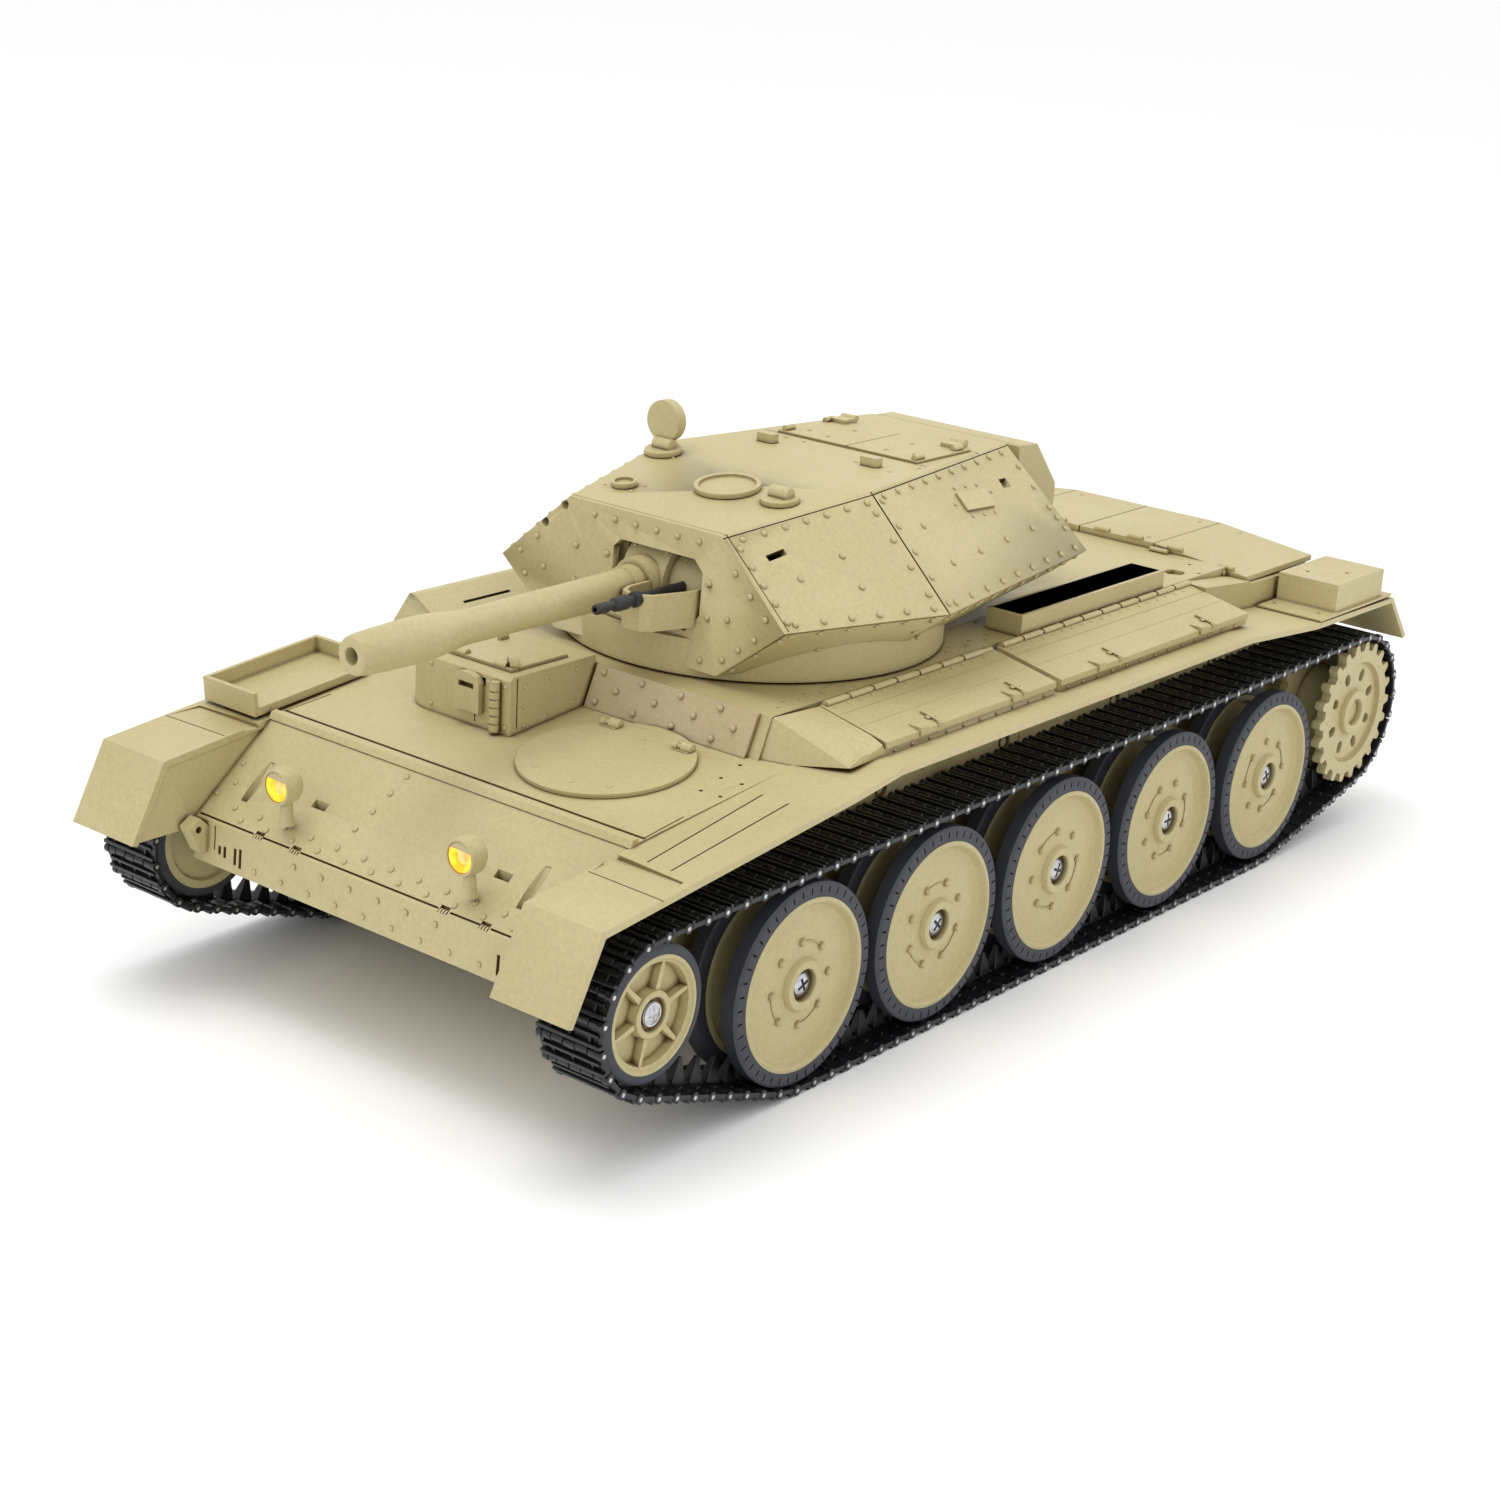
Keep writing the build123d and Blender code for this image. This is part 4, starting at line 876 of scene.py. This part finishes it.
# ---------------------------------------------------------------- gun
def build_gun():
    barrel = bmesh.new()
    profile = [
        (175.0, 0), (175.0, 3.9), (174.75, 4.4), (174.1, 4.75), (172.5, 5.0), (167.0, 5.3), (160.0, 5.5),
        (153.5, 5.5), (149.5, 5.25),
        (145.5, 4.8), (141.5, 4.35), (139.0, 4.2), (120.0, 4.3), (100.0, 4.42), (84.2, 4.6), (84.0, 5.15),
        (60.2, 5.15), (60.2, 0),
    ]
    place = local((0, 0, GUN_Z), (0, -1, 0))
    lathe(barrel, profile, place, 64)
    cutters = bmesh.new()
    lathe(cutters, [(161.0, 0), (161.0, 2.0), (174.6, 2.0), (176.0, 2.5), (176.0, 0)], place, 32)
    piece("barrel", carved(mesh_of(barrel), cutters), "gun", ["gun_barrel"], sharp=35)
    piece("mantlet", mantlet_mesh(), "gun", ["gun_cradle"], bevel=0.25)
    machine_gun = bmesh.new()
    low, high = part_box("coaxial_gun")
    x, z = (low.x + high.x) / 2 / MM, (low.z + high.z) / 2 / MM
    tip, back = low.y / MM, high.y / MM
    steps = [(0, 0), (0, 1.15), (0.5, 1.4), (4.0, 1.4), (4.3, 1.15), (6.4, 1.15), (6.8, 1.75), (9.0, 1.9),
             (11.0, 1.9), (11.4, 1.3), (13.5, 1.3),
             (13.8, 2.0), (15.5, 2.0), (15.8, 1.35), (back - tip, 1.35), (back - tip, 0)]
    lathe(machine_gun, steps, local((x, tip, z), (0, 1, 0)), 24)
    bore = bmesh.new()
    rod(bore, 0.6, -1, 4, local((x, tip, z), (0, 1, 0)), 16)
    piece("machine_gun", carved(mesh_of(machine_gun), bore), "gun", ["coaxial_gun"], slot="black_plastic",
          sharp=35)


def mantlet_mesh():
    """The CAD cradle with the curved shield round the barrel and the rounded arm beside the machine gun."""
    bm = bmesh.new()
    bm.from_mesh(cad_copy("gun_cradle"))
    trunnion = local((0, TRUNNION_Y, GUN_Z), (1, 0, 0))
    rod(bm, 11.3, -6.4, 7.4, trunnion, 72)
    for x, z in ((-5.0, 110.6), (6.0, 110.6), (-5.0, 95.0)):
        reach = math.sqrt(11.3 ** 2 - (z - GUN_Z) ** 2)
        dome(bm, (x, TRUNNION_Y - reach, z), (0, -reach, z - GUN_Z), 0.65, 0.5)
    lathe(bm, [(80.0, 4.3), (80.0, 6.6), (76.0, 7.0), (74.0, 4.3)], local((0, 0, GUN_Z), (0, -1, 0)), 48)
    # the curved arm that carries the machine gun, open at the top
    outer = [(5.2, -73.0), (5.2, -88.0), (6.6, -91.2), (9.2, -92.6), (13.2, -92.2), (15.6, -90.2),
             (19.4, -80.0), (19.4, -73.0)]
    inner = [(6.2, -72.0), (6.2, -87.6), (7.4, -90.2), (9.4, -91.4), (12.8, -91.0), (14.8, -89.4),
             (18.4, -79.8), (18.4, -72.0)]
    arm = bmesh.new()
    prism(arm, outer, 95.4, 104.6)
    hollow = bmesh.new()
    prism(hollow, inner, 96.6, 106.0)
    bm.from_mesh(carved(mesh_of(arm), hollow))
    plate = [(8.6, 94.2), (19.2, 94.2), (19.2, 110.4), (8.6, 110.4)]
    prism(bm, plate, 71.6, 72.4, local((0, 0, 0), (0, -1, 0), (0, 0, 1)) @ Matrix.Scale(-1, 4, (1, 0, 0)))
    for x in (11.0, 17.6):
        dome(bm, (x, -72.4, 108.4), (0, -1, 0), 0.6, 0.45)
    return mesh_of(bm)


# ---------------------------------------------------------------- hull
def unit_across(p, q):
    """The outward normal of the surface through two (y, z) points that runs along X."""
    dy, dz = q[0] - p[0], q[1] - p[1]
    length = math.hypot(dy, dz)
    return (0, -dz / length, dy / length)


GLACIS_N = unit_across(NOSE, RIDGE)
DECK_N = unit_across(RIDGE, DECK_END)


def deck_z(y):
    return RIDGE[1] + (DECK_END[1] - RIDGE[1]) * (y - RIDGE[0]) / (DECK_END[0] - RIDGE[0])


def glacis_y(z):
    return NOSE[0] + (RIDGE[0] - NOSE[0]) * (z - NOSE[1]) / (RIDGE[1] - NOSE[1])


def fender_z(y):
    return FENDER_TIP[1] + (DECK_END[1] - FENDER_TIP[1]) * (y - FENDER_TIP[0]) / (DECK_END[0] - FENDER_TIP[0])


def hull_cutters():
    cutters = bmesh.new()
    groove(cutters, (-60.4, DECK_SEAM_Y, deck_z(DECK_SEAM_Y)), (60.4, DECK_SEAM_Y, deck_z(DECK_SEAM_Y)),
           DECK_N, 0.9, 0.6)
    for x0, x1 in ((-60.0, -40.6), (-36.6, -27.6), (-23.2, 23.2), (27.6, 36.6), (40.6, 60.0)):
        groove(cutters, (x0, *NOSE_FOLD), (x1, *NOSE_FOLD), GLACIS_N, 0.55, 0.8)
    for sx in (-1, 1):
        groove(cutters, (sx * 60.4, DECK_SEAM_Y, deck_z(DECK_SEAM_Y)), (sx * 59.8, -127.0, deck_z(-127.0)),
               DECK_N, 0.4, 0.5)
        for x0, x1 in ((68.4, 65.4), (75.4, 73.4)):
            groove(cutters, (sx * x0, -148.8, fender_z(-148.8)), (sx * x1, -100.0, fender_z(-100.0)), DECK_N,
                   0.45, 0.5)
        wedge = [(61.8, -160.0, 0.0), (83.0, -160.6, 0.0), (81.4, -151.6, -0.45), (59.4, -150.0, -1.15)]
        points = [(sx * x, y, fender_z(y) + d) for x, y, d in wedge]
        points += [(sx * x, y, fender_z(y) + 3) for x, y, _ in wedge]
        faces = [(3, 2, 1, 0), (4, 5, 6, 7)] + [(i, (i + 1) % 4, 4 + (i + 1) % 4, 4 + i) for i in range(4)]
        add(cutters, points, faces)
        groove(cutters, (sx * 61.4, -160.4, fender_z(-160.4)), (sx * 83.9, -161.0, fender_z(-161.0)), DECK_N,
               0.35, 0.4)
        for x in FOLD_BRACKETS:
            brick(cutters, (sx * x - 1.5, -172.0, 44.0), (sx * x + 1.5, -167.9, 47.4))
        # hull side: round pockets, seams between plates
        side = (sx, 0, 0)
        for y in POCKET_Y:
            rod(cutters, 2.7, -1.3, 2, local((sx * HULL_X, y, 57.4), side), 24)
        for y in (-96.0, -66.0, 9.5, 64.5, 118.0):
            groove(cutters, (sx * HULL_X, y, 47.0), (sx * HULL_X, y, 68.5), side, 0.4, 0.5)
    # rear deck: a filler recess each side and small holes; then small holes in the front deck
    for x in (45.5, -45.5):
        rod(cutters, 3.0, -1.2, 2, local((x, 109.8, ROOF_Z), (0, 0, 1)), 32)
    for x, y in ((43.8, 121.2), (51.0, 114.6), (34.0, 106.0)):
        for sx in (-1, 1):
            rod(cutters, 0.6, -1.2, 2, local((sx * x, y, ROOF_Z), (0, 0, 1)), 12)
    for x, y in ((50.8, -96.1), (52.1, -104.7), (58.3, -104.4), (53.2, -113.2), (59.0, -113.0)):
        rod(cutters, 0.55, -1.0, 2, local((x, y, deck_z(y)), DECK_N), 12)
    return cutters


def build_upper_hull():
    shell = carved(cad_copy("upper_hull"), hull_cutters())
    piece("upper_hull_shell", shell, "hull", ["upper_hull"], bevel=0.22)
    rivets = bmesh.new()
    for k in range(12):
        for x, z in ((-51.2 + 9.25 * k, 49.5), (-56.0 + 9.25 * k, 47.9)):
            if abs(x) < 55:
                dome(rivets, (x, glacis_y(z), z), GLACIS_N, 0.8, 0.5)
    for z in (53.4, 57.1, 60.9, 64.4):
        dome(rivets, (-13.2 + 0.32 * (z - 53.4), glacis_y(z), z), GLACIS_N, 0.8, 0.5)
    for sx in (-1, 1):
        for x, z in ((59.6, 50.7), (56.6, 53.5), (58.6, 57.0)):
            dome(rivets, (sx * x, glacis_y(z), z), GLACIS_N, 0.7, 0.45)
        for y in POCKET_Y:
            hex_bolt(rivets, (sx * (HULL_X - 1.3), y, 57.4), (sx, 0, 0), 1.4, 1.0)
        for k in range(24):
            y = -128.0 + 10.4 * k
            dome(rivets, (sx * HULL_X, y, 59.0 if k % 2 else 55.4), (sx, 0, 0), 0.6, 0.4)
        for k in range(28):
            y = -80.0 + 4.4 * k
            x = 46.4 if k % 2 else 48.6
            if math.hypot(x, y + 31.0) > 52.5 and y < 15:
                dome(rivets, (sx * x, y, ROOF_Z), (0, 0, 1), 0.55, 0.35)
    for y in (20.0, 44.0, 68.0, 92.0):
        for sx in (-1, 1):
            dome(rivets, (sx * 37.0, y, ROOF_Z), (0, 0, 1), 0.6, 0.35)
    # latch-like hinges on the nose fold
    for sx in (-1, 1):
        for x in FOLD_BRACKETS:
            for dx in (-0.9, 0.0, 0.9):
                rod(rivets, 1.15, -0.28, 0.28, local((sx * x + dx, -168.9, 45.6), (1, 0, 0)), 14)
    # round knob hinges behind the engine bay's front edge
    for sx in (-1, 1):
        for x, y, z in ((30.0, 126.3, ROOF_Z), (50.0, 126.3, 79.9)):
            rod(rivets, 0.9, -3.0, 3.0, local((sx * x, y, z + 0.5), (1, 0, 0)), 12)
    piece("hull_rivets", rivets, "hull", sharp=50)


def build_lower_hull():
    cutters = bmesh.new()
    for sx in (-1, 1):
        groove(cutters, (sx * 33.5, -169.7, 41.5), (sx * 33.5, -169.3, 36.5), (0, -1, -0.06), 0.4, 0.5)
        for k in (0, 1, 3, 4):
            x = sx * (44.0 + 1.9 * k)
            brick(cutters, (x - 0.5, -172.5, 36.8 + 0.4 * k), (x + 0.5, -168.9, 41.8 - 0.3 * k))
        groove(cutters, (sx * 53.5, -170.2, 45.0), (sx * 53.5, -169.2, 35.6), (0, -1, -0.06), 0.45, 0.6)
    tub = carved(cad_copy("lower_hull"), cutters)
    piece("lower_hull_tub", tub, "hull", ["lower_hull"], bevel=0.22)
    rivets = bmesh.new()
    nose = (0, -1, -0.06)
    for k in range(6):
        dome(rivets, (-24.6 + 9.65 * k, -170.3, 42.9), nose, 0.75, 0.45)
    for k in range(9):
        dome(rivets, (-38.6 + 9.6 * k, -170.55, 37.6), nose, 0.75, 0.45)
    for sx in (-1, 1):
        for y in WHEEL_Y:
            for dz in (-6.5, 6.5):
                hex_bolt(rivets, (sx * HULL_X, y + 17.0 + 4.0, 35.0 + dz), (sx, 0, 0), 0.9, 0.7)
    piece("lower_hull_rivets", rivets, "hull", sharp=50)


def build_front_plate():
    plate = cad_copy("superstructure_plate")
    piece("front_plate", plate, "hull", ["superstructure_plate"], material=SAND_PINK, bevel=0.12)


def build_cab():
    bm = bmesh.new()
    cutters = bmesh.new()
    groove(cutters, (CAB_SIDE_X, -115.9, 71.0), (CAB_SIDE_X, -115.9, 83.6), (1, 0, 0), 0.4, 0.6)
    groove(cutters, (-16.5, CAB_FRONT_Y, 70.5), (-16.5, CAB_FRONT_Y, 83.0), (0, -1, 0), 0.4, 0.5)
    shell = carved(cad_copy("driver_cab"), cutters)
    bm.from_mesh(shell)
    for y, z in ((-113.3, 81.2), (-104.0, 81.5), (-94.6, 81.8), (-113.4, 76.0), (-104.5, 72.6), (-96.2, 73.6),
                 (-113.5, 71.2)):
        dome(bm, (CAB_SIDE_X, y, z), (1, 0, 0), 0.62, 0.4)
    for z in (71.3, 81.8):
        for x in (-6.0, -11.6, -32.0):
            dome(bm, (x, CAB_FRONT_Y, z), (0, -1, 0), 0.7, 0.5)
    for k in range(6):
        z = 71.0 + 2.1 * k
        rod(bm, 1.35, z - 0.85, z + 0.85, local((-8.7, CAB_FRONT_Y - 1.1, 0), (0, 0, 1)), 16)
    # armoured visor with a rounded top and its slit
    visor = bmesh.new()
    arch = [(-22.4, 73.2), (-13.5, 73.2), (-13.5, 81.0), (-14.6, 82.6), (-16.6, 83.2), (-19.4, 83.2),
            (-21.4, 82.6), (-22.4, 81.0)]
    prism(visor, arch, 0.0, 2.0, local((0, CAB_FRONT_Y + 0.1, 0), (0, -1, 0)))
    slit = bmesh.new()
    brick(slit, (-20.6, CAB_FRONT_Y - 5, 79.3), (-15.4, CAB_FRONT_Y + 2.5, 80.7))
    bm.from_mesh(carved(mesh_of(visor), slit))
    piece("cab_shell", mesh_of(bm), "hull", ["driver_cab"], bevel=0.2)
    hatch = bmesh.new()
    hatch.from_mesh(cad_copy("driver_hatch"))
    low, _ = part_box("driver_hatch")
    z = 85.2
    rod(hatch, 1.9, -1.3, 1.3, local((-9.6, -112.2, z + 0.6), (0.6, 1, 0)), 20)
    brick(hatch, (low.x / MM + 3.0, -99.5, z - 0.2), (low.x / MM + 4.2, -96.5, z + 1.1))
    piece("cab_hatch", hatch, "driver_hatch", ["driver_hatch"], bevel=0.15)


def build_cover():
    bm = bmesh.new()
    bm.from_mesh(cad_copy("round_deck_cover"))
    n = (0, -math.sin(math.radians(5.5)), math.cos(math.radians(5.5)))

    def top(y):
        return 69.65 + 1.3 + (y + 114.7) * math.tan(math.radians(5.5))

    for x, y in ((12.1, -99.6), (36.0, -99.9)):
        place = local((x, y, top(y) + 0.5), (1, 0.15, 0))
        lathe(bm, [(-2.9, 0), (-2.9, 1.0), (-1.5, 1.25), (-1.2, 0.8), (-0.4, 0.8), (-0.1, 1.5), (2.7, 1.5),
                   (2.9, 0.9), (2.9, 0)], place, 16)
        brick(bm, (-2.6, -1.6, -0.8), (2.6, -0.2, 0.3), local((x, y, top(y)), n))
    for x, y in ((7.8, -125.5), (15.2, -129.4), (28.0, -130.6), (36.9, -127.3), (24.0, -101.3)):
        dome(bm, (x, y, top(y)), n, 0.75, 0.35)
    piece("round_cover", bm, "hull", ["round_deck_cover"], bevel=0.15)


def build_boxes():
    """Stowage boxes with seam rivets, lids with ribs, hinge knuckles and latches."""
    boxes = bmesh.new()
    boxes.from_mesh(cad_copy("fender_boxes"))
    lids = bmesh.new()
    lids.from_mesh(cad_copy("box_lids"))
    xi, xo = 54.5, 75.0
    z_in, z_out = ROOF_Z, 77.8
    slope = (z_out - z_in) / (xo - xi)
    lid_n = Vector((-slope, 0, 1)).normalized()
    runs = [(1, -71.0, 2.6), (1, 5.0, 102.0), (-1, 5.0, 102.0)]
    for sx, y0, y1 in runs:
        n = (sx * lid_n.x, 0, lid_n.z)
        for k in range(int((y1 - y0) / 7.2)):
            dome(boxes, (sx * xo, y0 + 4.0 + 7.2 * k, 75.0), (sx, 0, 0), 0.5, 0.3)
        for k in range(int((y1 - y0) / 9.7)):
            y = y0 + 1.4 + 9.7 * k
            place = local((sx * (xi + 0.5), y, z_in + 0.05), (0, 1, 0))
            rod(lids, 1.0, 0, 8.4, place, 12)
            for dy in (1.6, 6.8):
                dome(lids, (sx * (xi + 2.8), y + dy, z_in + slope * 2.8), n, 0.5, 0.3)
        for x in (60.2, 66.6):
            z = z_in + slope * (x - xi)
            place = local((sx * x, y0 + 0.8, z), n, (0, 1, 0))
            brick(lids, (-0.16, 0, -0.3), (0.16, y1 - y0 - 1.6, 0.16), place)
        for y in ((y0 + y1) / 2 - 0.2 * (y1 - y0), (y0 + y1) / 2 + 0.3 * (y1 - y0)):
            place = local((sx * 72.3, y, z_in + slope * (72.3 - xi)), n, (0, 1, 0))
            brick(lids, (-3.2, -0.45, -0.2), (3.0, 0.45, 0.75), place)
            brick(lids, (-0.8, -1.6, -0.2), (0.4, 1.6, 0.6), place)
            brick(lids, (2.4, -0.9, -1.9), (3.5, 0.9, 0.6), place)
    wedge = bmesh.new()
    corners = [(48.9, -91.4, 71.9), (52.6, -86.6, 81.9), (54.6, -71.2, 81.9), (70.6, -71.2, 78.6),
               (75.0, -72.0, 77.4),
               (75.2, -84.5, 74.2), (61.0, -88.6, 72.2), (52.0, -70.0, 72.0), (75.0, -70.0, 74.3)]
    for corner in corners:
        wedge.verts.new(corner)
    hull = bmesh.ops.convex_hull(wedge, input=wedge.verts)
    bmesh.ops.delete(wedge, geom=hull["geom_interior"], context="VERTS")
    bmesh.ops.dissolve_limit(wedge, angle_limit=math.radians(3), verts=wedge.verts, edges=wedge.edges)
    piece("box_wedge_fairing", wedge, "hull", bevel=0.2)
    piece("stowage_boxes", boxes, "hull", ["fender_boxes"], bevel=0.16)
    piece("stowage_lids", lids, "hull", ["box_lids"], bevel=0.14)


def build_trays():
    for node, name in (("fender_tray", "fender_tray_frame"), ("deck_tray", "deck_tray_frame")):
        piece(name, cad_copy(node), "hull", [node], bevel=0.16)


def build_engine_deck():
    bm = bmesh.new()
    bm.from_mesh(cad_copy("engine_covers"))
    for sx in (-1, 1):
        for y in (133.0, 163.0):
            dome(bm, (sx * 22.0, y, 84.0), (0, 0, 1), 0.6, 0.35)
        for x in (8.0, 20.0):
            rod(bm, 0.85, -2.6, 2.6, local((sx * x, 128.6, 84.3), (1, 0, 0)), 12)
        for x in (34.0, 52.0):
            z = 84.0 - 3.6 * (x - 27.1) / 32.4
            rod(bm, 0.85, -2.6, 2.6, local((sx * x, 128.8, z + 0.3), (1, 0, 0)), 12)
        dome(bm, (sx * 36.0, 164.5, 83.0), (0, 0, 1), 0.5, 0.3)
    piece("engine_deck", bm, "hull", ["engine_covers"], bevel=0.22)
    cutters = bmesh.new()
    for sx in (-1, 1):
        for x, y in ((68.0, 150.0), (77.0, 158.0)):
            rod(cutters, 0.65, -1.5, 2, local((sx * x, y, 80.2), (0, 0, 1)), 12)
        for x, y in ((64.4, 138.2), (79.0, 138.7)):
            rod(cutters, 0.65, -0.5, 2, local((sx * x, y, 71.7), (0, 0, 1)), 12)
    piece("rear_box_pair", carved(cad_copy("rear_boxes"), cutters), "hull", ["rear_boxes"], bevel=0.22)


def build_lamps():
    housing = bmesh.new()
    glass = bmesh.new()
    core = bmesh.new()
    for sx in (-1, 1):
        place = local((sx * LAMP[0], *LAMP[1:]), (0, -1, 0))
        lathe(housing, [(0.0, 3.75), (0.15, 4.1), (0.0, 4.4), (-2.5, 4.75), (-4.4, 4.5), (-5.8, 3.4),
                        (-6.2, 1.8), (-6.2, 0), (-3.9, 0), (-3.9, 3.6)], place, 48)
        lathe(housing, [(51.2, 0), (51.2, 2.1), (53.2, 1.7), (57.4, 1.45), (57.4, 0)],
              local((sx * LAMP[0], -166.9, 0), (0, 0, 1)), 20)
        lid = [(3.6 * math.cos(math.radians(a)), 3.6 * math.sin(math.radians(a))) for a in range(28, 153, 8)]
        prism(housing, lid, -0.9, -0.1, place)
        lathe(glass, [(-3.2, 2.35), (-3.2, 3.6), (-0.25, 3.6), (-0.15, 3.2), (-0.55, 2.5), (-1.2, 2.35)],
              place, 40)
        lathe(core, [(-3.6, 0), (-3.6, 2.5), (-1.5, 2.5), (-1.1, 1.4), (-1.0, 0)], place, 40)
    piece("headlamp_bodies", housing, "hull", ["headlamp_housings"], sharp=40)
    piece("headlamp_rings", glass, "hull", ["headlamp_lenses"], slot="lamp_lens", sharp=50)
    piece("headlamp_reflectors", core, "hull", slot="lamp_lens", material=AMBER_DIM, sharp=50)


# ---------------------------------------------------------------- studio
def build_stage():
    """A pale floor that runs far out, a white world and two soft panels."""
    size = 14.0
    mesh = bpy.data.meshes.new("studio_floor")
    mesh.from_pydata([(-size, -size, 0), (size, -size, 0), (size, size, 0), (-size, size, 0)], [],
                     [(0, 1, 2, 3)])
    floor = bpy.data.objects.new("studio_floor", mesh)
    bpy.context.scene.collection.objects.link(floor)
    n = Nodes("studio_floor")
    n.shader.inputs["Roughness"].default_value = 0.8
    n.shader.inputs["Specular IOR Level"].default_value = 0.1
    n.shader.inputs["Base Color"].default_value = (0.97, 0.97, 0.97, 1)
    mesh.materials.append(n.material)
    world = bpy.data.worlds.new("studio")
    world.use_nodes = True
    world.node_tree.nodes["Background"].inputs["Color"].default_value = (1.0, 1.0, 1.0, 1)
    world.node_tree.nodes["Background"].inputs["Strength"].default_value = 1.0
    bpy.context.scene.world = world
    target = Vector((0, 0, 0.07))
    for name, at, power, width in (
        ("key", (-0.25, -0.25, 1.4), 7.0, 0.8), ("rim", (0.5, 1.1, 1.0), 2.0, 0.9),
    ):
        data = bpy.data.lights.new(name, "AREA")
        data.energy = power
        data.size = width
        lamp = bpy.data.objects.new(name, data)
        lamp.location = at
        lamp.rotation_mode = "QUATERNION"
        lamp.rotation_quaternion = (target - Vector(at)).to_track_quat("-Z", "Y")
        bpy.context.scene.collection.objects.link(lamp)
    scene = bpy.context.scene
    scene.view_settings.view_transform = "Standard"


def build_camera():
    """The camera, turned by its yaw, pitch and roll."""
    yaw, pitch, roll = 0.673, 0.331, 0.058
    away = Vector((-math.sin(yaw) * math.cos(pitch), math.cos(yaw) * math.cos(pitch), -math.sin(pitch)))
    right = Vector((math.cos(yaw), math.sin(yaw), 0))
    up = right.cross(away)
    right, up = math.cos(roll) * right + math.sin(roll) * up, math.cos(roll) * up - math.sin(roll) * right
    data = bpy.data.cameras.new("camera")
    data.sensor_width = 36.0
    data.lens = 65.74
    camera = bpy.data.objects.new("camera", data)
    place = Matrix((right, up, -away)).transposed().to_4x4()
    place.translation = Vector((0.43880, -0.57936, 0.28837))
    camera.matrix_world = place
    bpy.context.scene.collection.objects.link(camera)
    bpy.context.scene.camera = camera


paint_cad_nodes()
build_tracks()
build_road_wheels()
build_idlers()
build_sprockets()
build_turret()
build_gun()
build_upper_hull()
build_lower_hull()
build_front_plate()
build_cab()
build_cover()
build_boxes()
build_trays()
build_engine_deck()
build_lamps()
build_stage()
build_camera()
